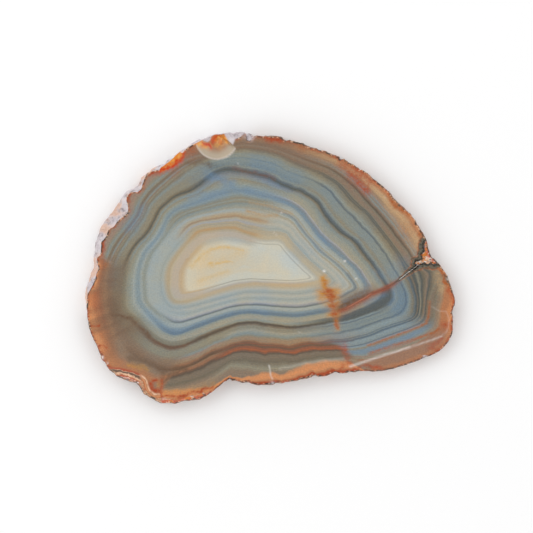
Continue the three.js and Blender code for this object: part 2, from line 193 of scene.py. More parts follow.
# The bands.
# Each band is a layer of chalcedony that grew inwards from the nodule's skin, so it is a closed
# line that keeps its place from the rim to the middle. A band's level counts these lines.
BAND_LINES = {
    "outer": [
        (51.6, -1.5), (50.5, -4), (49, -7), (47.9, -10), (47.7, -12), (47.5, -14.7), (47.2, -16.2),
        (45, -17.5), (38.7, -19.8), (32, -22.2), (29.5, -23.2), (25, -24.2), (20.9, -24), (16, -24.2),
        (12.3, -23.9), (9.5, -24.5), (6.7, -25.4), (4.8, -25.2), (2.9, -24.6), (0, -24.6), (-1.7, -25.1),
        (-3.6, -24.4), (-6.4, -24), (-9.2, -24), (-12, -25.1), (-16.4, -27.1), (-18.1, -27.7),
        (-19.5, -29), (-22, -30.1), (-27.2, -31.6), (-30, -32.9), (-35, -32.2), (-40, -30), (-44, -27.5),
        (-47.5, -23), (-49.5, -17), (-51, -10), (-51, -5), (-50, -1), (-49.8, 2), (-48.4, 6), (-46.5, 9),
        (-43.5, 12.5), (-41, 16), (-39.5, 20), (-36.8, 24), (-33, 27.3), (-29, 30.4), (-24, 33.3),
        (-18, 35), (-12, 36.5), (-8, 37.3), (-3, 36.8), (2, 35.6), (7.3, 33.7), (11.8, 31.9),
        (17.2, 30.1), (19, 29), (22, 27), (26, 23.4), (29, 19.8), (32.4, 16.2), (35.6, 12.4),
        (38.4, 8.6), (40, 6.6), (42, 4.2), (43, 2),
    ],
    "slate": [
        (41, -1.2), (42.3, -3.7), (43, -5.3), (43.5, -7.5), (44.3, -9.5), (44, -12), (43.5, -14.7),
        (42.8, -15.2), (38.7, -16.3), (35.3, -17.3), (32, -18.5), (29.6, -19.8), (24.4, -21),
        (22.7, -21.5), (17.5, -21.7), (15.7, -22.4), (11.3, -22.4), (8.5, -22.9), (6.7, -23.6),
        (4.8, -23.7), (2.9, -23.1), (-2.7, -22.9), (-4.5, -22.2), (-7.3, -22.1), (-9.5, -22.5),
        (-12, -23.2), (-14.1, -24.3), (-18.4, -25.7), (-21.6, -27.9), (-25.3, -29.4), (-28.1, -30.1),
        (-31.3, -30.6), (-35, -29.5), (-39, -27.2), (-42.5, -24.5), (-45.3, -21), (-47, -16.5),
        (-48.2, -12), (-48.5, -6), (-48, -1), (-47.4, 2), (-46, 4.8), (-44, 8), (-42, 10.8),
        (-40, 13.4), (-38.4, 15.4), (-37, 19.2), (-35.4, 21.2), (-31.6, 24.8), (-29.6, 26.6),
        (-26, 29.6), (-22, 31.7), (-17, 33.3), (-12, 35), (-8, 35.7), (-5, 35.3), (-1.7, 34.8),
        (2.1, 33.9), (4.2, 33), (6, 31.7), (8.2, 30.8), (13, 29), (16, 27.8), (20, 25.4), (21.2, 24),
        (25.2, 19.2), (27, 18), (28.6, 16.8), (33.6, 10.4), (38.4, 4), (39.6, 1.6), (40, 0.2),
    ],
    "dark": [
        (34.3, -4.7), (31.2, 0.4), (27.6, 4.8), (26.6, 6.4), (25.4, 8), (24, 8.8), (20.4, 11.2),
        (17.6, 14.2), (16.4, 16), (15.4, 17.6), (14, 19.8), (12.4, 21), (9, 23.1), (7, 23.7),
        (2.6, 25.4), (-0.4, 27.2), (-2, 27.8), (-8, 29), (-11, 29.6), (-13, 29.7), (-15, 29.2),
        (-17, 28.4), (-21, 25), (-24, 23), (-26, 22.4), (-28, 21.6), (-29.4, 20.8), (-32, 18.6),
        (-33.2, 17.4), (-34, 15.6), (-35.6, 12.4), (-36.4, 11), (-37.6, 9.6), (-40, 7.4), (-42.2, 4),
        (-43.4, 1.2), (-44.4, -2), (-45, -6), (-45.3, -10), (-45.2, -13), (-43.8, -14.4), (-42, -15),
        (-39.2, -17.4), (-37, -19.8), (-34, -21.9), (-32, -23), (-30, -23.6), (-28.1, -23.6),
        (-24.4, -22.7), (-22, -21.2), (-18, -19.7), (-14, -18.1), (-10, -16.6), (-8, -16.3), (-6, -16.1),
        (-4, -16.2), (0, -16.9), (4, -17.4), (6.6, -17.7), (10, -17.4), (17, -16.3), (19.2, -15.9),
        (21, -15.9), (26, -14.6), (32, -12.2), (35.6, -10), (36, -9.6), (35.9, -8), (35.7, -6.2),
    ],
    "blue": [
        (28.5, -4.8), (26.4, -1.3), (24.8, 0.6), (20.8, 4.1), (17.4, 7), (14, 10.3), (11, 14.4),
        (9.6, 16.2), (8, 17.8), (6, 19), (4, 19.8), (1, 20.8), (-2, 21.2), (-5, 21.8), (-8, 22.8),
        (-11, 22.6), (-16, 21.4), (-20.4, 19.8), (-26.4, 18), (-28, 17.2), (-29.6, 16), (-30.6, 14.8),
        (-32.2, 11.6), (-34.6, 7.8), (-36, 6.4), (-37.4, 5.2), (-38.6, 2), (-39.6, -1.6), (-39.5, -5),
        (-39.2, -9.8), (-37.2, -12.6), (-34.4, -15.6), (-31.2, -18.4), (-29, -19.2), (-27.4, -19.4),
        (-25.6, -18.8), (-24, -17.8), (-18, -15.6), (-13, -14), (-9, -13.1), (-6, -12.9), (-2, -13.3),
        (2, -13.5), (5, -13.8), (8, -14), (11, -13.5), (17, -12.4), (20, -11.2), (24, -9.3),
        (27, -7.8), (29.2, -6.2),
    ],
    "thin": [
        (26.1, -6.3), (25, -4.6), (22.6, -1.4), (19, 2), (15.2, 4.8), (12.6, 7.8), (9.8, 11),
        (7.6, 14.2), (6, 15.6), (4, 16.4), (0, 17.8), (-6, 18.9), (-10, 19), (-14, 18.3), (-22, 16.5),
        (-26, 15), (-28.4, 13.2), (-31.4, 8.6), (-34.6, 4.6), (-35.6, 2.6), (-36.4, 0), (-36.9, -3),
        (-36.6, -8.8), (-36, -10.6), (-33, -13.2), (-29.6, -15.8), (-28, -16.4), (-26.4, -16.2),
        (-22, -14.7), (-16, -12.9), (-12, -11.6), (-7, -10.9), (-4, -10.9), (2, -11.4), (7, -11.7),
        (10, -11.6), (15.6, -10.5), (20, -9.4), (24, -7),
    ],
    "grey": [
        (19.5, -4), (17, -1.6), (12, 2.4), (9, 6), (6.2, 9), (5.2, 10.6), (2.5, 11.6), (-1, 11.6),
        (-6.8, 12.6), (-10, 13.8), (-14, 13.6), (-20, 13), (-23, 12), (-27.6, 7), (-31, 2.6),
        (-32.2, 0), (-32.8, -3), (-32.6, -7), (-31.8, -9.6), (-30, -11.6), (-27.6, -12.2), (-20, -10.4),
        (-14, -8.7), (-8, -7.2), (-5, -7), (0, -7.2), (8, -7.6), (12, -7), (16, -6),
    ],
    "tan": [
        (16.4, -3.6), (12.8, -0.2), (9.6, 3), (6.4, 6), (5.2, 7.4), (4.6, 8.8), (3.4, 9.6), (0, 9.1),
        (-2, 9.2), (-5.6, 10.1), (-9, 11.3), (-10.4, 12), (-13, 12.1), (-17, 11.7), (-21, 11.1),
        (-22, 10.6), (-24, 8.2), (-27.4, 4), (-29.4, 1), (-30, -1), (-30.2, -6), (-29.8, -8),
        (-28.8, -9.6), (-27.4, -10.2), (-23.6, -9.5), (-17, -7.6), (-10, -5.6), (-4, -4.9), (0, -5.2),
        (8, -5.5), (12, -5), (15, -4.2),
    ],
    "core": [
        (12.6, -3.1), (10, -1), (6, 3), (4, 5.4), (3, 6.8), (2, 7), (-1.2, 7), (-4, 7.4), (-10, 9),
        (-14, 9.4), (-18, 8.8), (-21, 7.4), (-25.5, 2), (-26.8, 0), (-27.4, -3), (-27.4, -6),
        (-26.8, -8.2), (-20, -6.5), (-15, -4.9), (-11, -3.7), (-6, -3.1), (0, -3.4), (7, -3.7),
        (10, -3.3),
    ],
}
CLOSEST_LINES = 0.25
LINE_SOFTENING = 4  # columns over which a band line's corners are rounded
ROWS_PER_LEVEL = [20, 6, 12, 10, 7, 10, 5, 5, 16]
LAST_LEVEL = len(BAND_LINES) + 1

level_distance = [FACE_EDGE]
for band_line in BAND_LINES.values():
    traced = soften(distance_along(band_line + band_line[:1], ANGLE), LINE_SOFTENING)
    level_distance.append(np.minimum(traced, level_distance[-1] - CLOSEST_LINES))
level_distance.append(np.zeros(COLUMNS))
level_distance = np.array(level_distance)


def rows_at(levels, edge=FACE_EDGE):
    """Distances from the middle for each level: straight between the two band lines around it.
    The outermost line is the edge that is passed in."""
    lines = level_distance.copy()
    lines[0] = edge
    lines[1:] = np.minimum(lines[1:], edge - CLOSEST_LINES * 0.5)
    lower = np.minimum(np.floor(levels).astype(int), LAST_LEVEL - 1)
    share = (levels - lower)[:, None]
    return lines[lower] * (1 - share) + lines[lower + 1] * share


# The polished face.
# The face was sawn and polished flat. What breaks it is modelled as height: the shell-shaped
# chips, the facet ground across the lower right corner, the open fissure and its crystal notch.
CHIPS = [  # x, y, radius, depth
    (-16, 39, 6.7, 3.0), (-6.1, 40.5, 2.3, 1.2), (-10.2, 41, 2.6, 1.5), (46.9, -27.2, 1.5, 0.7),
    (30.4, 28.3, 1.2, 0.6), (-22.6, -40.3, 1.9, 0.9), (0.8, -35.6, 1.7, 0.8),
]
LARGE_CHIP = CHIPS[0]
CHIP_RIPPLE = 0.02  # height of the rings in a chip, as a share of its depth
STEP_START, STEP_END = np.array([-10.1, 35.9]), np.array([-16.0, 41.1])
FACET_START, FACET_END = np.array([23.4, -30.0]), np.array([53.8, -17.9])
FACET_SLOPE = math.tan(math.radians(11))
FISSURE = [
    (45, 1.5), (43, -0.2), (41.3, -1.4), (39.6, -2.8), (38, -4), (36, -5.3), (34.4, -6.1), (31.6, -7.3),
    (30, -7.9), (28.4, -9), (26.6, -9.9), (24.4, -11.2), (22.3, -12.3), (19.6, -13.2),
]
NOTCH = [
    (47.2, 8.6), (46.4, 7.4), (46.2, 6), (46.6, 5.2), (45.8, 4.4), (45.6, 3.2), (45.8, 2.6), (44.8, 2.2),
    (43.6, 1.9), (43.4, 1.2), (44.2, 0.9), (45.4, 1.2), (46.4, 1.7), (47.2, 1.2), (48.2, 1.6),
    (49.2, 1.1), (50, 1.5), (51, 1.8), (54, 4), (54, 8.6),
]
FISSURE_DEPTH = 0.9
FISSURE_FLOOR = 0.12  # half width of the groove at its bottom, and below of its lips
FISSURE_LIPS = 0.4
OPEN_FISSURE = FISSURE[:7]
NOTCH_DEPTH = 1.3
CRYSTAL_SIZE = 0.9


def smooth_step(low, high, value):
    """0 below low, 1 above high, and 3t squared less 2t cubed between."""
    t = np.clip((value - low) / (high - low), 0, 1)
    return t * t * (3 - 2 * t)


def line_distance(x, y, line):
    """Signed distance to an open line, and how far along the line the nearest point is, 0 to 1.
    Each stretch's nearest point is its start plus the part of the offset that lies along it."""
    points = np.asarray(line, float)
    best = np.full(np.shape(x), 1e9)
    side = np.ones(np.shape(x))
    along = np.zeros(np.shape(x))
    for i, (start, end) in enumerate(zip(points[:-1], points[1:])):
        run = end - start
        share = np.clip(((x - start[0]) * run[0] + (y - start[1]) * run[1]) / (run @ run), 0, 1)
        off_x, off_y = x - start[0] - share * run[0], y - start[1] - share * run[1]
        distance = np.hypot(off_x, off_y)
        nearer = distance < best
        best = np.where(nearer, distance, best)
        side = np.where(nearer, np.sign(run[0] * off_y - run[1] * off_x + 1e-12), side)
        along = np.where(nearer, (i + share) / (len(points) - 1), along)
    return best * side, along


def inside(x, y, outline):
    """True where a ray to the right crosses the closed outline an odd number of times."""
    points = np.asarray(outline, float)
    odd = np.zeros(np.shape(x), bool)
    for (ax, ay), (bx, by) in zip(points, np.roll(points, -1, axis=0)):
        spans = (ay > y) != (by > y)
        crossing = ax + (y - ay) * (bx - ax) / (by - ay if by != ay else 1e-9)
        odd ^= spans & (x < crossing)
    return odd


def area(x, y, outline, blur):
    """How far inside a closed outline a point is, from 0 to 1 across a soft edge of that blur."""
    closed = list(outline) + [outline[0]]
    distance = np.abs(line_distance(x, y, closed)[0])
    return smooth_step(-blur, blur, np.where(inside(x, y, outline), distance, -distance))


def beyond_line(x, y, start, end):
    """Signed distance to the right of the endless line from start to end: the offset from the
    start, taken across the line's direction."""
    run = (end - start) / np.hypot(*(end - start))
    return (x - start[0]) * run[1] - (y - start[1]) * run[0]


def face_height(x, y):
    """Height of the face in millimetres: the thickness less the deepest of the chips' round bowls,
    the facet's slope, the fissure's groove and the notch, whose floor is uneven with crystals."""
    sunk = np.zeros(np.shape(x))
    for chip in CHIPS:
        chip_x, chip_y, radius, depth = chip
        share = np.hypot(x - chip_x, y - chip_y) / radius
        ripple = CHIP_RIPPLE * depth * np.sin(share * 6 * math.pi)
        bowl = (depth * (1 - share**2) + ripple) * (share < 1)
        if chip is LARGE_CHIP:
            bowl = bowl * smooth_step(0, 0.5, -beyond_line(x, y, STEP_START, STEP_END))
        sunk = np.maximum(sunk, bowl)
    sunk = np.maximum(sunk, beyond_line(x, y, FACET_START, FACET_END) * FACET_SLOPE)
    gap, along = line_distance(x, y, OPEN_FISSURE)
    groove = FISSURE_DEPTH * (1 - smooth_step(FISSURE_FLOOR, FISSURE_LIPS, np.abs(gap))) * (1 - along)
    sunk = np.maximum(sunk, groove)
    crystals = lattice_noise(x, y, 0, CRYSTAL_SIZE, 11) + 0.6 * lattice_noise(x, y, 0, CRYSTAL_SIZE / 2, 12)
    pit = area(x, y, NOTCH, 0.2) * NOTCH_DEPTH * (0.62 + 0.3 * crystals)
    return THICKNESS - np.maximum(sunk, pit)


# The rim's wall and the underside.
# The wall is the nodule's rough skin: steep at the right, and broken back in a slope at the left.
# The underside is the other saw cut, so the same bands come out on it.
WALL = [  # height as a share of the face's height, and the way out from face's edge to rim
    (0.985, 0.04), (0.95, 0.2), (0.9, 0.38), (0.84, 0.52), (0.76, 0.63), (0.67, 0.75), (0.58, 0.86),
    (0.48, 0.94), (0.38, 0.99), (0.3, 1.0), (0.22, 0.98), (0.14, 0.93), (0.07, 0.84), (0.02, 0.76),
]
LUMP_DEPTH = 0.3
LUMP_DEPTH_ON_SLOPE = 0.16
LUMPS = [(1.7, 1, 21), (0.8, 0.55, 22), (0.4, 0.3, 23)]  # size, share of the depth, seed
SHARP_ANGLE = math.radians(40)
BOTTOM_EDGE = 0.7
BOTTOM_LEVELS = [0, 0.2, 0.45, 0.7, 1, 1.5, 2, 2.5, 3, 3.5, 4, 5, 6, 7, 8, 8.6]
FINE_LEVELS = 3  # rows inside this level have half as many vertices


def strip(here, below):
    """Faces between two rings of vertex numbers. Equal rings get a quad from each pair to the
    next; where one ring has half as many vertices, each of its stretches gets three triangles."""
    near, under = np.roll(here, -1), np.roll(below, -1)
    if len(here) == len(below):
        return np.stack([here, below, under, near], 1).tolist()
    if len(here) < len(below):
        odd, after = below[1::2], np.roll(below, -2)[::2]
        faces = [(here, below[::2], odd), (here, odd, near), (near, odd, after)]
    else:
        odd, after = here[1::2], np.roll(here, -2)[::2]
        faces = [(here[::2], below, odd), (odd, below, under), (odd, under, after)]
    return np.concatenate([np.stack(face, 1) for face in faces]).tolist()


top_levels = np.concatenate([k + np.arange(n) / n for k, n in enumerate(ROWS_PER_LEVEL)])[::-1]
top_distance = rows_at(top_levels)
top_x, top_y = place_at(top_distance)
edge_height = face_height(top_x[-1], top_y[-1])

rows = [(k, top_x[i], top_y[i], None, top_distance[i]) for i, k in enumerate(top_levels)]
for height, out in WALL:
    distance = FACE_EDGE + (RIM - FACE_EDGE) * out
    x, y = place_at(distance)
    z = edge_height * height
    lump = sum(share * lattice_noise(x, y, z, size, seed) for size, share, seed in LUMPS)
    free = min(1, 6.4 * height * (1 - height))
    depth = (LUMP_DEPTH + LUMP_DEPTH_ON_SLOPE * (RIM - FACE_EDGE)) * free
    inward = depth * np.clip(0.55 - lump, 0, 1.6) * (0.1 if out > 0.97 else 1)
    x, y = x - inward * np.cos(ANGLE), y - inward * np.sin(ANGLE)
    rows.append((-1, x, y, z + 0.6 * depth * lump, distance))
bottom_edge = FACE_EDGE + (RIM - FACE_EDGE) * BOTTOM_EDGE
for k, distance in zip(BOTTOM_LEVELS, rows_at(np.array(BOTTOM_LEVELS), bottom_edge)):
    x, y = place_at(distance)
    rows.append((k, x, y, np.zeros(COLUMNS), distance))

steps = [2 if k > FINE_LEVELS else 1 for k, *_ in rows]
ring_ends = np.cumsum([COLUMNS // step for step in steps])
rings = np.split(np.arange(ring_ends[-1]), ring_ends[:-1])


def gather(part):
    """One value for each vertex, ring by ring, with the two middles last."""
    return np.concatenate([part(row)[::step] for row, step in zip(rows, steps)])


x = np.append(gather(lambda row: row[1]), [MIDDLE[0]] * 2)
y = np.append(gather(lambda row: row[2]), [MIDDLE[1]] * 2)
z = gather(lambda row: face_height(row[1], row[2]) if row[3] is None else row[3])
z = np.append(z, [THICKNESS, 0])
level = np.append(gather(lambda row: np.full(COLUMNS, float(row[0]))), [LAST_LEVEL] * 2)
to_edge = np.append(gather(lambda row: FACE_EDGE - row[4]), [30, 30])
on_wall = level < 0
broken_share = soften(is_broken.astype(float), 3)
broken_wall = on_wall * np.append(gather(lambda row: broken_share), [0, 0])
level = np.maximum(level, 0)

faces = []
for here, below in zip(rings[:-1], rings[1:]):
    faces += strip(here, below)
for ring, middle in ((rings[0], len(x) - 2), (rings[-1][::-1], len(x) - 1)):
    faces += np.stack([np.full(len(ring), middle), ring, np.roll(ring, -1)], 1).tolist()
mesh = bpy.data.meshes.new("agate_stone")
mesh.from_pydata((np.stack([x, y, z], 1) * MM).tolist(), [], faces)
mesh.polygons.foreach_set("use_smooth", np.ones(len(mesh.polygons), bool))
mesh.set_sharp_from_angle(angle=SHARP_ANGLE)
stone = bpy.data.objects.new("agate_stone", mesh)
bpy.context.scene.collection.objects.link(stone)


def paint(name, values):
    """One number for each vertex, kept on the mesh under a name that the material reads."""
    mesh.attributes.new(name, "FLOAT", "POINT").data.foreach_set("value", values.astype(np.float32))


# Where each part of the rim keeps its own run of bands.
# The bands took different colours on each side of the nodule. Going round from the fissure, each
# stretch begins at an angle, in degrees, and fades in over a width near the rim and one further in.
OUTER_STRETCHES = {
    "top": (52, 44, 18), "upper_left": (118, 22, 22), "left": (178, 5, 14), "lower_left": (216, 12, 16),
    "foot": (236.5, 3, 8), "bottom": (256, 12, 12), "lobe": (320, 3, 30), "prow": (342, 7, 7),
}
INNER_STRETCHES = {"high": (62, 30), "west": (154, 22), "low": (216, 18), "east": (344, 14)}
turn = np.degrees(np.arctan2(y - MIDDLE[1], x - MIDDLE[0])) % 360
for stretch, (begins, width) in INNER_STRETCHES.items():
    paint(stretch, smooth_step(begins - width / 2, begins + width / 2, turn))
fissure_gap, fissure_along = line_distance(x, y, FISSURE)
above_fissure = fissure_gap < 0
split_turn = np.where(above_fissure & (turn > 331), turn - 360, turn)
for stretch, (begins, rim_width, inner_width) in OUTER_STRETCHES.items():
    width = rim_width + (inner_width - rim_width) * smooth_step(1.3, 2.2, level)
    paint(stretch, smooth_step(begins - width / 2, begins + width / 2, split_turn))
paint("band", level)
streak = lattice_noise(turn / 2.4, level / 2.5, 0, 1, 41)
streak = streak + 0.6 * lattice_noise(turn / 1.1, level / 1.6, 0, 1, 42)
paint("streak", smooth_step(-0.7, 1.2, streak) * (1 - smooth_step(2.2, 3.2, level)))
# Along the foot of the slice the skin is stained orange down to this level, by angle in degrees.
STAIN_DEPTH = {
    234: 9, 236: 0.5, 244: 0.42, 250: 0.34, 255: 0.2, 260: 0.13, 266: 0.1, 271: 0.15, 275: 0.24,
    280: 0.38, 285: 0.34, 290: 0.24, 294: 0.36, 300: 0.48, 306: 0.52, 312: 0.52, 318: 0.46,
}
stain_depth = np.interp(turn, list(STAIN_DEPTH), list(STAIN_DEPTH.values()))
in_foot = smooth_step(235.5, 237, turn) * (1 - smooth_step(317, 319.5, turn))
paint("stain_share", np.where(in_foot > 0.01, level / stain_depth, 2) + 1 - in_foot)
paint("fissure", fissure_gap)
paint("along", fissure_along)
# How far out from the notch's crystals and the open fissure, in millimetres. The same layers line
# both, and they are thinner along the fissure.
from_notch = np.abs(line_distance(x, y, NOTCH + NOTCH[:1])[0]) * np.where(inside(x, y, NOTCH), -1, 1)
from_notch = from_notch * np.where(above_fissure, np.interp(y, [2, 4.5], [1.2, 0.85]), 1)
from_gap = np.abs(fissure_gap) / np.interp(fissure_along, [0, 0.15, 0.3, 0.4], [0.8, 0.48, 0.26, 0.05])
from_gap = np.maximum(from_gap - 0.15, 0.12)
paint("seam", np.clip(np.minimum(from_notch, from_gap), -3, 6))

# Stains and lines of their own.
# Iron oxide crept in from the skin and along the fissure, so it lies across the bands. Each mark
# is a line or a spot in millimetres, with its half width and strength.
WAVER, FINE_WAVER = 0.45, 0.2
WAVER_SIZE, FINE_WAVER_SIZE = 1.4, 0.6


def wavering(seed, fine_seed):
    """How far a mark strays at each vertex: wide waves of noise plus fine ones."""
    wide = WAVER * lattice_noise(x, y, 0, WAVER_SIZE, seed)
    return wide + FINE_WAVER * lattice_noise(x, y, 0, FINE_WAVER_SIZE, fine_seed)


def fade(distance, width):
    """A bell curve: 1 at no distance, and the reciprocal of e, about a third, at the width."""
    return np.exp(-((distance / width) ** 2))


def stroke(line, width, strength=1.0, straight=False):
    """Strength along a wavering line, or a straight one, fading across its half width."""
    at_x, at_y = (x, y) if straight else (mark_x, mark_y)
    return strength * fade(line_distance(at_x, at_y, line)[0], width)


def spot(spot_x, spot_y, radius, strength=1.0):
    """Strength round a place, with a wavering outline, fading across the radius."""
    return strength * fade(np.hypot(mark_x - spot_x, mark_y - spot_y), radius)


def speck(speck_x, speck_y, radius, strength=1.0):
    """Strength round a place, with a round outline, fading across the radius."""
    return strength * fade(np.hypot(x - speck_x, y - speck_y), radius)


def strongest(*masks):
    """The strongest of several marks at each vertex."""
    return np.maximum.reduce(masks)


mark_x, mark_y = x + wavering(31, 33), y + wavering(32, 34)
polished = (z > 1) | on_wall  # marks of the face that don't come out on the underside

# The rusty glow along the fissure, wider below it and towards its inner end.
glow = smooth_step(0.2, 0.4, fissure_along) * (1 - smooth_step(0.985, 1.0, fissure_along))
glow_width = 0.7 + 0.7 * fissure_along * ~above_fissure
paint("glow", 0.9 * glow * fade(fissure_gap, glow_width))

# The branching stain below the fissure, from its pale fringe to its dark stem, then orange bands
# at the lower right and rust that crept in from the rim.
ORANGE_BAND = [
    (47.7, -10), (47.7, -12), (47.4, -14.7), (46.8, -16.6), (42, -18.6), (35.3, -21.1), (29.5, -23.2),
]
LOWER_ORANGE_BAND = [(50.5, -18.2), (49.5, -19.2), (43.7, -21.2), (37, -23.2), (29.8, -25.6)]
paint("fringe", polished * strongest(
    stroke([(16.2, -3.2), (16.6, -5.6)], 1.1, 0.95), stroke([(19, -6.2), (20.8, -5.4)], 0.6, 0.35),
    stroke([(15.6, -7.4), (19.7, -7)], 1.6, 0.95), stroke([(15.8, -8.9), (19.6, -8.6)], 1.3, 0.85),
    spot(20.8, -8, 1.0, 0.4), stroke([(17.2, -10.9), (19.8, -10.7)], 1.2, 0.7),
    stroke([(18.6, -11), (19.4, -14)], 1.4, 0.6), stroke([(17.8, -13.9), (20.2, -13.8)], 1.0, 0.65),
    stroke([(19.8, -15), (19.9, -18.6)], 0.8, 0.5),
))
paint("orange", polished * strongest(
    stroke([(16.4, -4), (16.9, -6)], 0.6, 0.4), stroke([(16.6, -6.9), (18.4, -7)], 1.0, 0.8),
    stroke([(17, -8.2), (18.8, -8.4)], 1.1, 0.8), stroke([(17.9, -10.9), (19.4, -11)], 0.8, 0.65),
    stroke([(18.2, -9), (19.2, -12.6)], 0.55, 0.6), spot(19.1, -13.8, 0.95, 0.8),
    stroke([(19.6, -14.6), (19.8, -18.4)], 0.42, 0.65),
    stroke([(-38, 27), (-38.4, 23.6)], 0.8, 0.5), stroke([(-25, 35), (-22.6, 35.4)], 1.2, 0.3),
    stroke([(-50.9, 2.9), (-50.2, 1.8), (-49.2, 0.8)], 0.8, 0.3),
    stroke(ORANGE_BAND, 0.36, 0.65, True), stroke(LOWER_ORANGE_BAND, 0.4, 0.65, True),
    stroke([(51.2, -0.8), (51.8, -2), (52.2, -4), (53.4, -5.8)], 0.5, 0.8), spot(41.5, 12, 3, 0.2),
    stroke([(36, 21.4), (37, 19), (39.4, 17.6), (41.5, 16)], 0.7, 0.7), spot(9.5, 36.2, 1.6, 0.4),
    spot(45.1, 10, 1, 0.7),
))
paint("rust", strongest(
    0.4 * glow * fade(fissure_gap, 0.4),
    spot(17.2, -6.9, 0.8, 0.5), stroke([(17.8, -8), (18.2, -8.9)], 0.7, 0.6), spot(18.8, -11, 0.5, 0.5),
    spot(19.4, -13.4, 0.8, 0.55), stroke([(19.8, -16.4), (19.8, -18)], 0.3, 0.5),
    spot(-24, 34.4, 1.8, 0.25), spot(-28.5, 29, 2, 0.2),
    stroke([(24, 28.4), (26, 26.8), (27.6, 24.8), (29, 23)], 1.5, 0.65), spot(26.6, 28, 3, 0.6),
    spot(30, 26, 1.6, 0.5), stroke([(21, 31), (26, 29), (29, 27)], 1.2, 0.5),
    stroke([(29.6, 24.4), (30.8, 26)], 0.35, 0.7),
    stroke([(22.3, -24), (23, -27.1), (24.2, -28.6)], 1.2, 0.5),
    stroke([(22, -29.2), (20.9, -30.7)], 0.5, 0.8),
    stroke([(-32.4, -33.6), (-32.6, -37.4)], 0.5, 0.6, True),
    stroke([(-32.8, -37), (-32.6, -39.8)], 0.7, 0.8),
    stroke([(-34, -33.6), (-35.2, -33.9), (-35.7, -35)], 0.45, 0.8, True),
    stroke([(-35.7, -34.8), (-35.5, -36), (-34.8, -36.8), (-33.8, -36.9)], 0.75, 0.95, True),
    stroke([(-31, -38.2), (-27.6, -38.7), (-24.8, -37.9), (-22, -37.3), (-17.4, -36)], 0.45, 0.9),
    stroke([(-54.4, -17.3), (-51, -17.5)], 0.35, 0.8), stroke([(-52.4, -23.2), (-49.5, -23.4)], 0.35, 0.8),
    spot(52.5, -17.2, 1.3, 0.7), stroke([(51, -21.5), (48, -24.5)], 0.7, 0.6), spot(50, -24.6, 1.2, 0.5),
    stroke([(-50.3, 3.6), (-50.2, 7.5)], 0.6, 0.8), stroke([(-0.5, 39), (3.5, 38.4)], 0.9, 0.9),
    stroke([(-36, 28.4), (-33.6, 28.9)], 0.7, 0.8), stroke([(-42.5, 22), (-42.6, 20)], 0.6, 0.5),
    stroke([(-11, 30.3), (-6, 28.7), (-2, 27.9), (1, 27)], 0.7, 0.14),
    stroke([(26, -30.6), (28, -29.3), (31, -29.4), (34, -30.4)], 0.4, 0.7),
    stroke([(53.6, -6.4), (55, -9), (55, -12)], 0.6, 0.6), spot(52.6, -17.4, 1.6, 0.4),
))

# The dark wedge of bands at the fissure's lower end, the haze round it, and brown and blue clouds.
ROOT_SHADE = [
    (19.4, -12.8), (20.2, -11.5), (21.6, -10.7), (25, -9.2), (28, -8), (31.4, -6.8), (28.4, -8.8),
    (26.6, -9.7), (24.4, -11), (22.3, -12.1), (19.8, -13),
]
ROOT_HAZE = [(20, -10.8), (25.6, -7.2), (30, -6.4), (31.4, -6.8), (25, -9.2), (21.6, -10.7)]
SLATE_TIP = [
    (20, -14.8), (24, -13.5), (28, -11.5), (32, -9.4), (34.9, -6.4), (35.8, -6.4), (36.1, -8),
    (35.9, -9.5), (34.6, -10.9), (30, -13), (25, -14.9), (20, -15.9),
]
SLATE_HAZE = [(21, -13.8), (28, -10), (34.6, -6.6), (35.2, -8.4), (30, -11.6), (21, -15)]
paint("char", strongest(
    stroke([(-36, -20.4), (-38.8, -17.8), (-41.8, -15.2), (-44.5, -14.3), (-47, -14)], 0.6, 0.8),
    area(x, y, ROOT_SHADE, 0.4) * 0.9, area(x, y, ROOT_HAZE, 0.6) * 0.4,
    stroke([(-31.8, -31.3), (-34, -29.6), (-37, -28.2), (-42, -27)], 0.9, 0.55),
    stroke([(-31.7, -30.6), (-32.3, -33.8)], 0.8, 0.55, True),
    stroke([(-32, -34.2), (-30.6, -32.4), (-28, -31.2), (-25, -30)], 0.6, 0.6),
    stroke([(-25, 31.6), (-22, 31.6), (-18, 30.8)], 0.9, 0.4),
    stroke([(-46.4, -12), (-45.6, -16)], 1.6, 0.35),
))
SLATE_EDGE = [(20, -15.5), (25, -14.4), (30, -12.5), (34.2, -10.5), (35.6, -9), (35.6, -7.2), (35, -6.4)]
paint("dark", strongest(
    stroke([(-18, 30.8), (-14, 30.2), (-10, 29.8)], 1.1, 0.35),
    area(x, y, SLATE_TIP, 0.5) * 0.4, area(x, y, SLATE_HAZE, 0.6) * 0.2,
    stroke(SLATE_EDGE, 0.7, 0.7, True),
    stroke([(23.4, -1.8), (25, -4.4), (25.8, -6.2), (24.4, -7.2), (21, -8.8)], 0.5, 0.35, True),
))
paint("haze", strongest(
    spot(-34.6, -35.1, 1.3, 0.9),
    stroke([(-43, -27.4), (-40, -28), (-36.6, -29.6), (-34, -31.8)], 1.7, 0.8),
    stroke([(-45, -22.6), (-44.4, -25.6), (-42, -27.6)], 2, 0.75),
    stroke([(20.5, -10.2), (26, -7.8), (31, -6.2)], 1.4, 0.65), stroke([(49, -8.4), (48.3, -14)], 0.8, 0.5),
))
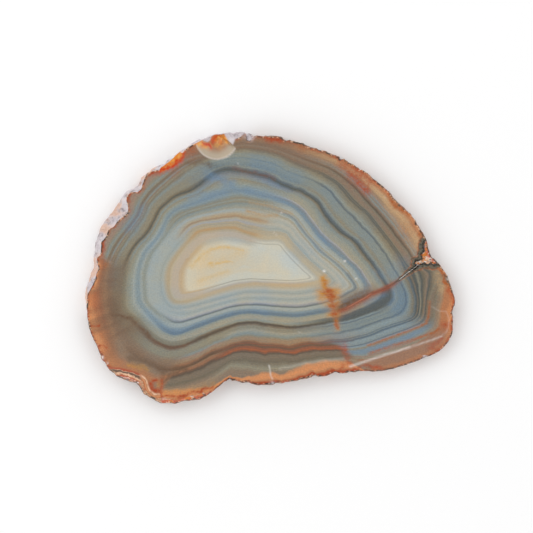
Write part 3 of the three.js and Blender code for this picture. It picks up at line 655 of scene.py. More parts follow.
paint("blue", strongest(
    stroke([(37, -6.4), (37.2, -9), (36, -11)], 0.6, 0.4, True) * ~above_fissure,
    stroke([(-18, 27.4), (-14.6, 26.4), (-11.5, 25.2)], 1.5, 0.5),
    stroke([(-11, 23.6), (-7, 23), (-3, 22.2)], 0.8, 0.2),
    stroke([(-22, 21.8), (-14, 23)], 0.9, 0.15), stroke([(-2, 26), (2, 24.4)], 0.8, 0.2),
    stroke([(33, -2), (36.6, -2.2), (39, 1.2)], 2.6, 0.22) * above_fissure,
    stroke([(28.6, -10.6), (34.4, -7.8)], 0.8, 0.35, True),
    stroke([(-20, 22.5), (-24, 21)], 0.8, 0.3), stroke([(-42, 12), (-38.6, 17)], 2, 0.3),
    stroke([(38, -6), (38.6, -9), (37, -12)], 1.4, 0.12) * ~above_fissure,
))

# The honey streaks of the core and the ochre lines round it.
HONEY_ARCH = [(-23.8, 0.2), (-22.8, 1.6), (-20.4, 3.8), (-18.2, 5.4), (-15, 6.2), (-12, 6.2)]
paint("honey", polished * strongest(
    stroke(HONEY_ARCH, 0.6, 0.65, True),
    stroke([(-12, 6.2), (-10, 5.8), (-8, 5.2)], 0.5, 0.45, True),
    spot(-17.6, 1.1, 0.8, 0.95), stroke([(-16.6, 1.2), (-14.8, 1.6), (-12, 2.1)], 0.4, 0.8, True),
    stroke([(-18, 1.4), (-12, 2.6), (-9, 4.6)], 1.6, 0.22), spot(-20, 4, 3.4, 0.25),
    stroke([(-21, -3.8), (-17.6, -2.6), (-13.6, -1.2), (-12.4, -0.8)], 0.7, 0.35, True),
))
paint("ochre", polished * strongest(
    stroke([(50.2, -2), (50.8, -4), (51.2, -6.6)], 1.2, 0.75),
    stroke([(-6, 19.6), (-3, 19), (0, 18.6), (3.2, 17.2), (6.4, 16.4)], 0.5, 0.4, True),
    stroke([(-7, 17.2), (-3, 16), (-1.2, 15.7), (2, 15.7)], 0.45, 0.8, True),
    stroke([(-1, 18.6), (3, 16.9), (5, 16.6)], 0.4, 0.4, True),
    stroke([(-20, 14.8), (-15, 15.8), (-10, 16.1), (-7, 15.1), (-3.4, 14), (-1, 13.8)],
           0.45, 0.55, True),
    stroke([(-26.8, -6), (-26.8, -1), (-24.8, 2.8)], 0.35, 0.4, True),
))

# Scraps of dark rind along the rim, white flecks and scratches, and painted highlights on the facet's edge
# and lower left rim.
paint("rind", strongest(
    stroke([(46.6, 10.4), (46.4, 9), (46.3, 8)], 0.8, 1),
    stroke([(36.4, 22), (39, 19.2)], 0.6, 0.9), stroke([(52.2, -2.4), (54.2, -5.2)], 0.45, 0.8),
    stroke([(5, 38.4), (11, 37), (17, 34.8)], 0.3, 0.6), stroke([(30, 28), (36, 22.8)], 0.35, 0.7),
    stroke([(-22, -39.4), (-19, -38.2)], 0.7, 0.8), stroke([(30, -31), (40, -29.4)], 0.3, 0.4),
    spot(29.6, -30.3, 0.8, 0.6),
))
paint("pale", polished * strongest(
    speck(22.4, 2.1, 0.3, 0.9), speck(16.2, -0.9, 0.34), speck(25.8, -3.2, 0.26, 0.8),
    speck(3.4, 16.5, 0.26, 0.5), speck(8.8, -19.2, 0.22, 0.2), speck(-15.7, 21.8, 0.22, 0.2),
    speck(34.5, 21.2, 0.25, 0.2),
    # The two spots on the lower left rim are painted highlight flecks on the rough rind; the other marks
    # are white flecks and scratches.
    spot(-50.4, -27, 0.5, 0.9), spot(-48.8, -28.6, 0.4, 0.6), spot(53, -3, 0.4, 0.6),
    stroke([(-0.3, -29.2), (0, -30.4), (0.2, -32.2), (0.7, -33.2)], 0.24, 0.42, True),
    stroke([(-50.5, 3.5), (-48.8, 2.2), (-47.4, 1.4)], 0.18, 0.06, True),
    stroke([(3, -30.2), (6.7, -29.4), (10.4, -28.5), (14, -28), (19.2, -27.4), (22, -27.2)],
           0.4, 0.15, True),
    stroke([(-10, 31.6), (-9.2, 31)], 0.15, 0.3, True), stroke([(1, 10.8), (2, 9.8)], 0.15, 0.3, True),
))
paint("amber", strongest(
    stroke([(-42.4, -28.9), (-39, -29.3), (-36.6, -30.6)], 0.7, 0.45), spot(-33.5, -34.8, 0.7, 0.4),
    stroke([(-31, -37.3), (-26, -37.3), (-21, -36.5), (-17, -35.1)], 0.9, 0.25),
))
GOLD_EDGE = [(8, 36), (14, 33.8), (20, 31), (30, 24.4), (37, 17.4), (42, 10.6), (44, 6)]
paint("gold", strongest(
    stroke(GOLD_EDGE[4:], 2.0, 0.5), stroke(GOLD_EDGE[:4], 1.2, 0.15),
    stroke([(36, 18.4), (41, 12)], 1.6, 0.5), stroke([(44.6, 11), (43, 7)], 1.2, 0.4),
))
# A painted highlight along the edge of the ground facet, where it meets the flat face.
paint("facet_edge_highlight", polished * strongest(
    stroke([(24, -29.5), (27.9, -28.2), (34.8, -25.9), (42, -23.7)], 0.3, 0.6, True),
    stroke([(42, -23.7), (48.7, -21.5), (51.3, -20.5)], 0.26, 0.4, True),
    stroke([(51.3, -20.5), (52.8, -19.2), (53.5, -17.7), (53.7, -15.3)], 0.2, 0.16, True),
    stroke([(53.7, -15.3), (52.8, -13), (50.7, -12.9), (48.5, -11.5)], 0.2, 0.14, True),
))

# The large chip's pale bowl, and the fiery iron stain along the upper left edge.
large_chip_x, large_chip_y, large_chip_radius, _ = LARGE_CHIP
chip_share = np.hypot(x - large_chip_x, y - large_chip_y) / large_chip_radius
before_step = smooth_step(-0.1, 0.3, -beyond_line(x, y, STEP_START, STEP_END))
paint("chip", (1 - smooth_step(0.95, 1.0, chip_share)) * (z > 1) * before_step)
paint("chip_share", chip_share)
EMBER_PATCH = [
    (-25.9, 35), (-26.2, 33.6), (-27.6, 31.8), (-29.8, 30.2), (-32.4, 28.9), (-33.6, 29.6), (-30, 34),
]
paint("ember", strongest(
    stroke([(-21.6, 37.6), (-19.6, 37)], 1.1, 1), stroke([(-16.6, 39.4), (-13.6, 38.6)], 1.5, 1),
    spot(-15, 38.2, 1.7, 0.95), spot(-18, 36.8, 0.9, 0.7), area(x, y, EMBER_PATCH, 0.4),
))
paint("scorch", strongest(
    stroke([(-22.4, 38.2), (-20.6, 38)], 0.5, 0.7),
    stroke([(-19.4, 37.5), (-18.4, 37), (-17.7, 36.3)], 0.65, 1),
    stroke([(-17.3, 38), (-16.8, 39.4), (-15, 40.2)], 0.8, 0.75),
    stroke([(-26, 34.2), (-26.8, 32.4), (-28.8, 30.8), (-30.8, 29.7), (-33, 29)], 0.8, 0.9),
    stroke([(-33, 29.9), (-31, 30.6)], 0.6, 0.7),
))

# The lower left corner, where the bands fold back on themselves, and the crystals along the foot.
FOLD = [
    (-50, -29.8), (-48, -29.7), (-45, -29.9), (-42, -30.6), (-39.5, -31.5), (-37.6, -32.6),
    (-36.8, -33.8), (-36.5, -35.2), (-35.8, -36.7), (-34.5, -37.6), (-33, -37.7),
]
CORNER = [*FOLD, (-32.6, -38.6), (-32, -43), (-44, -42), (-56, -32)]
paint("fold", np.abs(line_distance(x, y, FOLD)[0]))
paint("loop", smooth_step(-39.4, -38, x))
paint("corner", area(x, y, CORNER, 0.25))
SKIRT = [
    (-32.2, -39), (-29, -39.6), (-27.6, -39.7), (-24.6, -38.6), (-22.6, -38.2), (-18, -37.2), (-20, -43),
    (-34, -43),
]
paint("crystal", 0.8 * area(x, y, SKIRT, 0.3))

# The lilac-white skin, and the scraps of it that lie torn over the face.
TORN = [
    (-7, 42), (-7.4, 40.4), (-8.7, 39.5), (-10.4, 38.7), (-11.1, 37), (-12.4, 38), (-13.4, 39.6),
    (-14.2, 42),
]
QUARTZ = [
    (-20.6, 38.6), (-18.9, 37.8), (-18, 38.3), (-17.6, 39.4), (-16.9, 40.4), (-18.4, 41.4), (-21.4, 39.8),
]
near_face = z > 3.6
paint("crust", strongest(
    broken_wall, area(x, y, TORN, 0.25), spot(-6.2, 39.6, 1.2, 1),
    near_face * (1 - smooth_step(0.4, 0.9, np.hypot(x - 46.6, y + 26.8))),
    near_face * spot(0.9, -34.6, 0.7, 0.7), area(x, y, QUARTZ, 0.25) * (z > 1.5),
))
paint("flush", 1 - smooth_step(-26, -21, x))  # the skin is peach and dirty on the left alone
paint("hide", on_wall - broken_wall)
paint("to_edge", to_edge)

# The agate's colours.
# Polished chalcedony with thin grown bands, iron stain along its rim, and a rough lilac-white skin
# where the rim is broken. Each colour is named, and each run of bands lists levels and names.
TINTS = {
    "cream": (206, 192, 166), "ivory": (202, 196, 178), "pale_green": (196, 196, 186),
    "pearl": (174, 173, 164), "rose_grey": (179, 168, 154), "mist": (160, 166, 162),
    "lilac": (158, 159, 161), "pale_slate": (152, 159, 156), "sage": (142, 146, 137),
    "steel": (132, 146, 151), "sky": (119, 136, 148), "deep_sky": (106, 122, 134),
    "dusk": (126, 131, 135), "tan": (185, 165, 136), "ochre": (176, 148, 112),
    "wheat": (171, 157, 133), "oat": (168, 161, 145), "straw": (178, 168, 147),
    "sand": (156, 151, 135), "khaki": (144, 138, 118), "olive": (138, 132, 115),
    "dull_olive": (126, 118, 101), "moss": (113, 104, 88), "slate": (132, 139, 135),
    "slate_blue": (117, 131, 137), "pewter": (129, 140, 141), "dark_slate": (99, 107, 110),
    "navy": (96, 110, 121), "ink": (88, 90, 86), "umber": (96, 85, 73), "char": (105, 82, 64),
    "soot": (50, 48, 42), "peat": (96, 91, 78), "yolk": (236, 172, 84), "pink_line": (198, 138, 112),
    "brown": (144, 113, 88), "mocha": (129, 106, 88), "drab": (123, 110, 94), "taupe": (136, 118, 100),
    "clay": (150, 128, 112), "cocoa": (112, 87, 70), "fawn": (152, 128, 103), "bark": (146, 106, 80),
    "copper": (176, 119, 82), "russet": (156, 92, 62), "rust": (164, 70, 38),
    "rust_brown": (140, 90, 68), "orange": (208, 140, 92), "amber": (200, 138, 94),
    "night": (86, 94, 97), "maroon": (138, 76, 56), "golden": (188, 154, 116),
    "honey": (208, 172, 108), "stain": (165, 86, 36), "fringe": (194, 138, 60),
    "facet": (152, 113, 89), "cobalt": (98, 134, 166), "scorch": (196, 62, 22),
    "ember": (224, 134, 44), "shell": (176, 162, 140), "fawn_shell": (154, 116, 84),
    "white": (236, 230, 224), "peach": (226, 184, 150), "coral": (200, 84, 50),
    "skin": (198, 188, 192), "wash": (216, 208, 210), "shade": (136, 125, 128),
    "wall_peach": (218, 176, 150),
}
OUTER_END = 3.4
CORE_LEVEL = 8.0
LINES_PER_LEVEL, LINES_IN_CORE = 7, 24
OUTER_BANDS = {
    "right": [
        (0, "brown"), (0.05, "orange"), (0.16, "copper"), (0.28, "golden"), (0.4, "golden"),
        (0.5, "fawn"), (0.6, "clay"), (0.66, "slate"), (0.71, "taupe"), (0.78, "slate"),
        (0.86, "taupe"), (0.97, "umber"), (1.1, "dull_olive"), (1.3, "taupe"), (1.55, "taupe"),
        (1.72, "dull_olive"), (1.83, "ink"), (1.9, "dull_olive"), (1.97, "ink"), (2.05, "dull_olive"),
        (2.16, "olive"), (2.28, "sage"), (2.37, "dark_slate"), (2.43, "slate"), (2.62, "slate"),
        (2.75, "olive"), (2.85, "slate"), (2.91, "dark_slate"), (2.99, "ink"), (3.08, "dull_olive"),
        (3.2, "slate"), (3.4, "sage"),
    ],
    "top": [
        (0, "russet"), (0.08, "bark"), (0.3, "bark"), (0.5, "brown"), (0.8, "mocha"), (1, "mocha"),
        (1.2, "taupe"), (1.6, "mocha"), (1.85, "drab"), (1.96, "drab"), (2.08, "olive"),
        (2.22, "slate"), (2.34, "slate"), (2.4, "slate_blue"), (2.46, "pewter"), (2.7, "slate_blue"),
        (2.8, "slate"), (2.9, "dark_slate"), (3.0, "ink"), (3.08, "dark_slate"), (3.2, "dusk"),
        (3.4, "sage"),
    ],
    "upper_left": [
        (0, "brown"), (0.35, "clay"), (0.6, "clay"), (0.9, "olive"), (1.12, "slate"), (1.3, "olive"),
        (1.42, "drab"), (1.55, "drab"), (1.75, "slate"), (1.9, "taupe"), (2.04, "olive"),
        (2.14, "dull_olive"), (2.28, "slate"), (2.5, "olive"), (2.75, "olive"), (2.9, "moss"),
        (3.0, "ink"), (3.1, "dull_olive"), (3.22, "slate"), (3.4, "steel"),
    ],
    "left": [
        (0, "rust"), (0.08, "orange"), (0.35, "amber"), (0.6, "copper"), (1, "bark"), (1.6, "brown"),
        (2.1, "mocha"), (2.5, "drab"), (3.05, "drab"), (3.2, "dull_olive"), (3.4, "olive"),
    ],
    "lower_left": [
        (0, "rust"), (0.3, "copper"), (1.1, "copper"), (1.35, "brown"), (1.7, "mocha"), (1.95, "char"),
        (2.15, "mocha"), (2.4, "taupe"), (2.55, "olive"), (2.78, "olive"), (2.92, "cocoa"),
        (3.0, "cocoa"), (3.08, "dull_olive"), (3.3, "olive"), (3.4, "sand"),
    ],
    "foot": [
        (0, "taupe"), (0.42, "fawn"), (0.5, "taupe"), (0.62, "moss"), (0.74, "drab"), (0.84, "drab"),
        (0.93, "umber"), (1.02, "cocoa"), (1.2, "bark"), (1.45, "bark"), (1.6, "brown"),
        (1.74, "char"), (1.9, "char"), (2, "cocoa"), (2.1, "bark"), (2.22, "fawn"), (2.34, "clay"),
        (2.43, "slate"), (2.54, "olive"), (2.7, "khaki"), (2.82, "olive"), (2.93, "umber"),
        (3.02, "umber"), (3.12, "drab"), (3.25, "sage"), (3.4, "sand"),
    ],
    "bottom": [
        (0, "taupe"), (0.3, "taupe"), (0.46, "khaki"), (0.56, "dull_olive"), (0.66, "moss"),
        (0.76, "drab"), (0.84, "drab"), (0.9, "umber"), (0.98, "russet"), (1.1, "rust_brown"),
        (1.3, "rust_brown"), (1.45, "cocoa"), (1.68, "cocoa"), (1.86, "rust_brown"), (1.97, "cocoa"),
        (2.05, "bark"), (2.13, "fawn"), (2.25, "fawn"), (2.34, "olive"), (2.42, "slate"),
        (2.49, "sage"), (2.6, "sand"), (2.72, "olive"), (2.82, "olive"), (2.88, "drab"),
        (2.94, "umber"), (3.02, "umber"), (3.1, "olive"), (3.22, "sage"), (3.4, "sand"),
    ],
    "lobe": [
        (0, "russet"), (0.08, "copper"), (0.2, "facet"), (0.5, "facet"), (0.57, "olive"),
        (0.63, "clay"), (0.7, "slate"), (0.78, "sky"), (0.88, "sky"), (0.96, "olive"), (1.05, "steel"),
        (1.12, "steel"), (1.22, "navy"), (1.32, "pewter"), (1.55, "steel"), (1.66, "steel"),
        (1.78, "navy"), (1.87, "navy"), (1.93, "pewter"), (1.99, "navy"), (2.06, "pewter"),
        (2.14, "steel"), (2.28, "steel"), (2.4, "navy"), (2.48, "pewter"), (2.64, "slate_blue"),
        (2.74, "pewter"), (2.82, "navy"), (2.88, "steel"), (2.98, "ink"), (3.12, "ink"),
        (3.4, "dark_slate"),
    ],
    "prow": [
        (0, "rust"), (0.08, "orange"), (0.28, "copper"), (0.45, "copper"), (0.58, "fawn"),
        (0.7, "taupe"), (0.78, "dull_olive"), (0.86, "moss"), (0.94, "drab"), (1.1, "dull_olive"),
        (1.2, "moss"), (1.31, "ink"), (1.4, "taupe"), (1.5, "moss"), (1.62, "ink"), (1.73, "olive"),
        (1.8, "ink"), (1.88, "ink"), (1.93, "drab"), (1.99, "ink"), (2.06, "dark_slate"),
        (2.14, "dull_olive"), (2.28, "slate"), (2.34, "slate_blue"), (2.4, "navy"),
        (2.46, "slate_blue"), (2.65, "slate_blue"), (2.8, "slate"), (2.9, "dark_slate"), (2.98, "ink"),
        (3.15, "ink"), (3.4, "dark_slate"),
    ],
}
INNER_BANDS = {
    "base": [
        (3.3, "sage"), (3.68, "sand"), (3.76, "lilac"), (3.84, "dusk"), (3.95, "sky"), (4.06, "sky"),
        (4.3, "pale_slate"), (4.55, "mist"), (4.68, "sand"), (4.82, "pale_slate"), (4.94, "dusk"),
        (5.02, "steel"), (5.12, "mist"), (5.22, "sand"), (5.34, "pearl"), (5.52, "mist"),
        (5.72, "pearl"), (5.88, "mist"), (5.98, "pale_slate"), (6.1, "mist"), (6.3, "oat"),
        (6.6, "oat"), (6.9, "straw"), (7.2, "straw"), (7.5, "pearl"), (7.82, "pale_green"),
        (7.93, "pearl"), (8.0, "pearl"), (8.02, "pale_green"), (8.2, "pale_green"), (8.4, "ivory"),
        (9, "cream"),
    ],
    "high": [
        (3.3, "slate"), (3.4, "olive"), (3.56, "sage"), (3.74, "steel"), (3.92, "sky"), (4.1, "steel"),
        (4.26, "slate"), (4.48, "olive"), (4.6, "sage"), (4.74, "olive"), (4.88, "slate"),
        (5.02, "sage"), (5.14, "sand"), (5.26, "mist"), (5.42, "oat"), (5.54, "wheat"), (5.64, "fawn"),
        (5.76, "oat"), (5.88, "lilac"), (6, "wheat"), (6.15, "sand"), (6.35, "wheat"), (6.6, "wheat"),
        (6.85, "ochre"), (7.05, "ochre"), (7.2, "wheat"), (7.5, "rose_grey"), (7.9, "rose_grey"),
        (8.08, "pearl"), (8.25, "ivory"), (8.45, "cream"), (9, "cream"),
    ],
    "west": [
        (3.3, "olive"), (3.6, "sage"), (3.76, "pale_slate"), (3.92, "steel"), (4.1, "steel"),
        (4.35, "pale_slate"), (4.6, "sage"), (4.75, "sage"), (5.1, "mist"), (5.8, "mist"),
        (6.02, "pale_slate"), (6.25, "mist"), (6.55, "oat"), (6.8, "wheat"), (6.98, "wheat"),
        (7.12, "straw"), (7.35, "rose_grey"), (7.95, "rose_grey"), (8.05, "tan"), (8.14, "ivory"),
        (8.3, "cream"), (9, "cream"),
    ],
    "low": [
        (3.3, "sand"), (3.55, "sand"), (3.72, "sage"), (3.82, "deep_sky"), (3.95, "deep_sky"),
        (4.12, "sky"), (4.3, "steel"), (4.45, "pale_slate"), (4.76, "mist"), (4.87, "slate"),
        (4.95, "dark_slate"), (5.03, "dusk"), (5.12, "lilac"), (5.24, "pearl"), (5.38, "mist"),
        (5.5, "pale_slate"), (5.62, "mist"), (5.75, "pearl"), (5.96, "pale_slate"), (6.2, "mist"),
        (6.4, "pearl"), (6.75, "straw"), (7, "tan"), (7.25, "tan"), (7.5, "rose_grey"), (7.8, "ivory"),
        (7.93, "oat"), (8.0, "oat"), (8.02, "ivory"), (8.4, "ivory"), (8.62, "cream"), (9, "ivory"),
    ],
}
FOLD_BANDS = [
    (0, "rust"), (0.45, "rust"), (0.55, "peach"), (0.66, "char"), (1.2, "char"), (1.35, "peach"),
    (1.75, "peach"), (1.95, "copper"), (2.3, "coral"), (2.5, "white"), (2.7, "rust"), (3, "shade"),
    (3.6, "skin"),
]
LOOP_BANDS = [
    (0, "peach"), (0.3, "peach"), (0.5, "copper"), (0.9, "orange"), (1.2, "stain"), (1.5, "golden"),
    (1.8, "copper"), (2.1, "peach"), (2.5, "stain"), (2.9, "peach"), (3.2, "coral"), (3.8, "peach"),
]
SEAM_BANDS = [
    (0, "soot"), (0.45, "soot"), (0.6, "peat"), (1.1, "moss"), (1.25, "char"), (1.45, "russet"),
    (1.7, "copper"), (2.4, "fawn"),
]
STAIN_BANDS = [
    (0, "rust"), (0.14, "rust"), (0.28, "copper"), (0.42, "amber"), (0.55, "orange"), (0.8, "amber"),
    (0.95, "amber"), (1.1, "khaki"),
]


def linear(name):
    """A named tint, from its eight-bit display value to the linear value that shaders use."""
    channels = [value / 255 for value in TINTS[name]]
    return (*[v / 12.92 if v <= 0.04045 else ((v + 0.055) / 1.055) ** 2.4 for v in channels], 1)


material = bpy.data.materials.new("polished_agate")
material.use_nodes = True
nodes, links = material.node_tree.nodes, material.node_tree.links
nodes.clear()
output = nodes.new("ShaderNodeOutputMaterial")
shader = nodes.new("ShaderNodeBsdfPrincipled")
links.new(shader.outputs["BSDF"], output.inputs["Surface"])
place = nodes.new("ShaderNodeTexCoord").outputs["Object"]


def attribute(name):
    """The number that the mesh keeps under a name."""
    node = nodes.new("ShaderNodeAttribute")
    node.attribute_name = name
    return node.outputs["Fac"]


def calculate(operation, first, second=0.0, clamp=False):
    """One operation on one or two numbers or sockets."""
    node = nodes.new("ShaderNodeMath")
    node.operation = operation
    node.use_clamp = clamp
    for socket, value in zip(node.inputs, (first, second)):
        if isinstance(value, (int, float)):
            socket.default_value = value
        else:
            links.new(value, socket)
    return node.outputs["Value"]


def times(first, second, clamp=False):
    """The product of two numbers or sockets."""
    return calculate("MULTIPLY", first, second, clamp)


def plus(first, second, clamp=False):
    """The sum of two numbers or sockets."""
    return calculate("ADD", first, second, clamp)


def minus(first, second):
    """The first number or socket less the second."""
    return calculate("SUBTRACT", first, second)


def larger(first, second):
    """The larger of two numbers or sockets."""
    return calculate("MAXIMUM", first, second)


def rescale(value, low, high, to_low=0.0, to_high=1.0, smooth=True):
    """A value moved from one range to another, clamped at both ends."""
    node = nodes.new("ShaderNodeMapRange")
    node.interpolation_type = "SMOOTHSTEP" if smooth else "LINEAR"
    links.new(value, node.inputs["Value"])
    for name, number in zip(("From Min", "From Max", "To Min", "To Max"), (low, high, to_low, to_high)):
        node.inputs[name].default_value = number
    return node.outputs["Result"]


def blend(factor, first, second, mode="MIX"):
    """Two colours blended by a factor. A colour is a socket, a tint's name or three factors."""
    node = nodes.new("ShaderNodeMix")
    node.data_type = "RGBA"
    node.blend_type = mode
    if isinstance(factor, float):
        node.inputs["Factor"].default_value = factor
    else:
        links.new(factor, node.inputs["Factor"])
    for socket, colour in ((node.inputs[6], first), (node.inputs[7], second)):
        if isinstance(colour, str):
            socket.default_value = linear(colour)
        elif isinstance(colour, tuple):
            socket.default_value = (*colour, 1)
        else:
            links.new(colour, socket)
    return node.outputs[2]


def shade(value, colour, darker, lighter, weight=1.0):
    """A colour multiplied by the first three factors where the value is 0, by the others at 1."""
    return blend(weight, colour, blend(value, darker, lighter), "MULTIPLY")


def band_ramp(bands, value):
    """A run of bands as a colour ramp from its first level to its last."""
    low, high = bands[0][0], bands[-1][0]
    node = nodes.new("ShaderNodeValToRGB")
    ramp = node.color_ramp
    links.new(rescale(value, low, high, smooth=False), node.inputs["Fac"])
    for i, (band_level, name) in enumerate(bands):
        stop = ramp.elements[i] if i < 2 else ramp.elements.new(1)
        stop.position = (band_level - low) / (high - low)
        stop.color = linear(name)
    return node.outputs["Color"]


def noise(size, detail=3.0, roughness=0.5, distortion=0.0, at=place):
    """Procedural noise from 0 to 1 with features of that many millimetres."""
    node = nodes.new("ShaderNodeTexNoise")
    node.inputs["Scale"].default_value = 1 / (size * MM)
    node.inputs["Detail"].default_value = detail
    node.inputs["Roughness"].default_value = roughness
    node.inputs["Distortion"].default_value = distortion
    links.new(at, node.inputs["Vector"])
    return node.outputs["Fac"]


def centred_noise(size, detail=3.0, roughness=0.5):
    """The same noise with its middle moved to zero."""
    return minus(noise(size, detail, roughness), 0.5)


def speckled(size, detail, roughness, low, high, to_low=0.0, to_high=1.0):
    """Patches of noise: its values from low to high are spread over the range that is asked for."""
    return rescale(noise(size, detail, roughness), low, high, to_low, to_high)


# The bands: each stretch of the rim blends its own run over the one before it, and inside
# OUTER_END the inner runs take over. The levels wander a little, less towards the core.
wander = times(centred_noise(2, 4), 0.1)
wander = times(wander, rescale(attribute("band"), 6.5, 8, 1, 0.05))
band = plus(attribute("band"), wander)
outer = band_ramp(OUTER_BANDS["right"], band)
for stretch in OUTER_STRETCHES:
    outer = blend(attribute(stretch), outer, band_ramp(OUTER_BANDS[stretch], band))
east = band_ramp(INNER_BANDS["base"], band)
inner = east
for stretch in ("high", "west", "low"):
    inner = blend(attribute(stretch), inner, band_ramp(INNER_BANDS[stretch], band))
inner = blend(attribute("east"), inner, east)
colour = blend(rescale(band, OUTER_END - 0.1, OUTER_END, smooth=False), outer, inner)

# The hair-thin lines that follow every band, and the soft clouds across them.
fine_lines = nodes.new("ShaderNodeTexNoise")
fine_lines.noise_dimensions = "1D"
fine_lines.inputs["Detail"].default_value = 3
fine_lines.inputs["Roughness"].default_value = 0.6
core_lines = times(larger(minus(band, CORE_LEVEL), 0.0), LINES_IN_CORE)
links.new(plus(times(band, LINES_PER_LEVEL), core_lines), fine_lines.inputs["W"])
fine = rescale(fine_lines.outputs["Fac"], 0.3, 0.7)
fine_weight = rescale(band, 2, 8.5, 1.0, 0.4)
colour = shade(fine, colour, (0.89, 0.9, 0.92), (1.09, 1.08, 1.06), fine_weight)
clouds = speckled(11, 2, 0.5, 0.35, 0.65)
colour = shade(clouds, colour, (0.93, 0.99, 1.05), (1.05, 1.01, 0.93), rescale(band, 1, 2.2, 0.3, 1.0))

speckle = noise(1.0, 4, 0.65)


def worn(name, break_up=0.9):
    """A painted mark whose strength is broken up by speckle."""
    uneven = rescale(speckle, 0.3, 0.7, 1 - break_up, 1 + break_up)
    return times(attribute(name), uneven, clamp=True)


# The left side's brown streaks and rusty blotches, the orange foot and the mottled rim.
in_left = times(attribute("left"), minus(1.0, attribute("lower_left")))
streaks = times(times(attribute("streak"), in_left), 0.5)
colour = blend(streaks, colour, "cocoa")
blotches = times(speckled(6, 4, 0.6, 0.45, 0.65), rescale(band, 1.6, 0.4, 0, 0.28))
colour = blend(times(blotches, in_left), colour, "rust")
stain_share = plus(attribute("stain_share"), times(centred_noise(2.2, 4, 0.6), 0.3))
stained = rescale(stain_share, 1.15, 0.75)
colour = blend(stained, colour, band_ramp(STAIN_BANDS, stain_share))
rim_mottle = speckled(1.7, 4, 0.6, 0.42, 0.6)
near_rim = rescale(attribute("to_edge"), 1.0, 0.15)
colour = blend(times(near_rim, rim_mottle), colour, "rust")

# The painted marks, each with how much it is worn and its tint.
for mark, break_up, tint in (
    ("dark", 0.25, "night"), ("blue", 0.3, "cobalt"), ("ochre", 0.3, "ochre"), ("honey", 0.3, "honey"),
    ("gold", 0.4, "golden"), ("haze", 0.1, "taupe"), ("amber", 0.4, "fringe"),
):
    colour = blend(worn(mark, break_up), colour, tint)
colour = blend(attribute("glow"), colour, "maroon")
colour = blend(worn("char", 0.3), colour, "char")
feather_place = nodes.new("ShaderNodeMapping")
feather_place.inputs["Scale"].default_value = (0.7, 1.9, 1)
links.new(place, feather_place.inputs["Vector"])
feather = noise(0.9, 3, 0.6, at=feather_place.outputs["Vector"])
feathered = times(attribute("fringe"), rescale(feather, 0.3, 0.7, 0.65, 1.15), clamp=True)
colour = blend(feathered, colour, "fringe")
colour = blend(worn("orange", 0.4), colour, "stain")
colour = blend(worn("rust", 0.4), colour, "rust")
rind_colour = blend(speckled(0.7, 3, 0.6, 0.42, 0.58), "soot", "moss")
colour = blend(worn("rind", 0.5), colour, rind_colour)

# The folded bands of the lower left corner, by the distance from the fold.
jitter = centred_noise(0.9, 3, 0.6)
fold = plus(attribute("fold"), times(centred_noise(1.6, 3), 0.9))
fold = plus(fold, times(jitter, 0.9))
fold_colour = blend(attribute("loop"), band_ramp(FOLD_BANDS, fold), band_ramp(LOOP_BANDS, fold))
ragged = times(rescale(attribute("fold"), 1.4, 2.2), speckled(1.1, 3, 0.6, 0.5, 0.6))
fold_colour = blend(ragged, fold_colour, "copper")
outer_fold = rescale(attribute("fold"), 0.9, 1.5, 0, 0.8)
fold_colour = blend(times(outer_fold, speckled(0.6, 2, 0.7, 0.54, 0.6)), fold_colour, "rust")
fold_colour = blend(times(outer_fold, speckled(0.7, 2, 0.7, 0.42, 0.36)), fold_colour, "peach")
colour = blend(attribute("corner"), colour, fold_colour)

# The dark layers that line the notch and the open fissure, by the distance from their edge.
seam = plus(attribute("seam"), times(jitter, 1.7))
seam_share = times(rescale(seam, 2.1, 1.2), rescale(attribute("along"), 0.33, 0.25))
seam_colour = band_ramp(SEAM_BANDS, seam)
seam_colour = blend(speckled(0.8, 3, 0.6, 0.54, 0.6, 0, 0.7), seam_colour, "soot")
seam_colour = blend(speckled(0.7, 2, 0.6, 0.36, 0.32, 0, 0.8), seam_colour, "stain")
colour = blend(seam_share, colour, seam_colour)

# The stone's grain, light and dark and then cool and warm. It is fainter in the core.
grain_weight = rescale(band, OUTER_END, 7.5, 1.0, 0.45)
grain = speckled(0.36, 2, 0.8, 0.3, 0.7)
colour = shade(grain, colour, (0.84, 0.84, 0.86), (1.16, 1.16, 1.14), grain_weight)
grain_hue = speckled(0.5, 2, 0.7, 0.35, 0.65)
colour = shade(grain_hue, colour, (0.96, 1, 1.05), (1.05, 1, 0.95), grain_weight)

# The crystals on the notch's floor and along the foot.
crystal_colour = blend(speckled(0.9, 3, 0.5, 0.4, 0.6), "peach", "white")
crystal_colour = blend(speckled(1.5, 3, 0.6, 0.47, 0.53), crystal_colour, "ember")
crystal_rim = times(rescale(attribute("to_edge"), 1.7, 0.4), speckled(1.1, 3, 0.5, 0.38, 0.5))
crystal_colour = blend(crystal_rim, crystal_colour, "coral")
crystal_colour = blend(speckled(0.8, 2, 0.6, 0.6, 0.66), crystal_colour, "umber")
in_notch = times(rescale(seam, 0.02, -0.08), rescale(attribute("seam"), 0.1, -0.05))
colour = blend(in_notch, colour, crystal_colour)
colour = blend(attribute("crystal"), colour, crystal_colour)

# The broken line of skin along the face's edge, then scratches with painted highlight flecks, and the
# facet's painted edge highlight.
rim_line = rescale(attribute("to_edge"), 0.6, 0.15)
rim_patches = rescale(noise(2.6, 3, 0.6, 0.3), 0.48, 0.56)
flecks = noise(0.6, 3, 0.6)
colour = blend(times(rim_line, rim_patches), colour, "soot")
colour = blend(times(rim_line, rescale(flecks, 0.54, 0.62)), colour, "peach")
colour = blend(times(rim_line, rescale(flecks, 0.44, 0.38)), colour, "umber")
# White flecks and scratches, with painted highlight flecks on the lower left rim.
colour = blend(worn("pale", 0.3), colour, "white")
# The facet's edge: a painted highlight.
colour = blend(worn("facet_edge_highlight", 0.15), colour, "white")
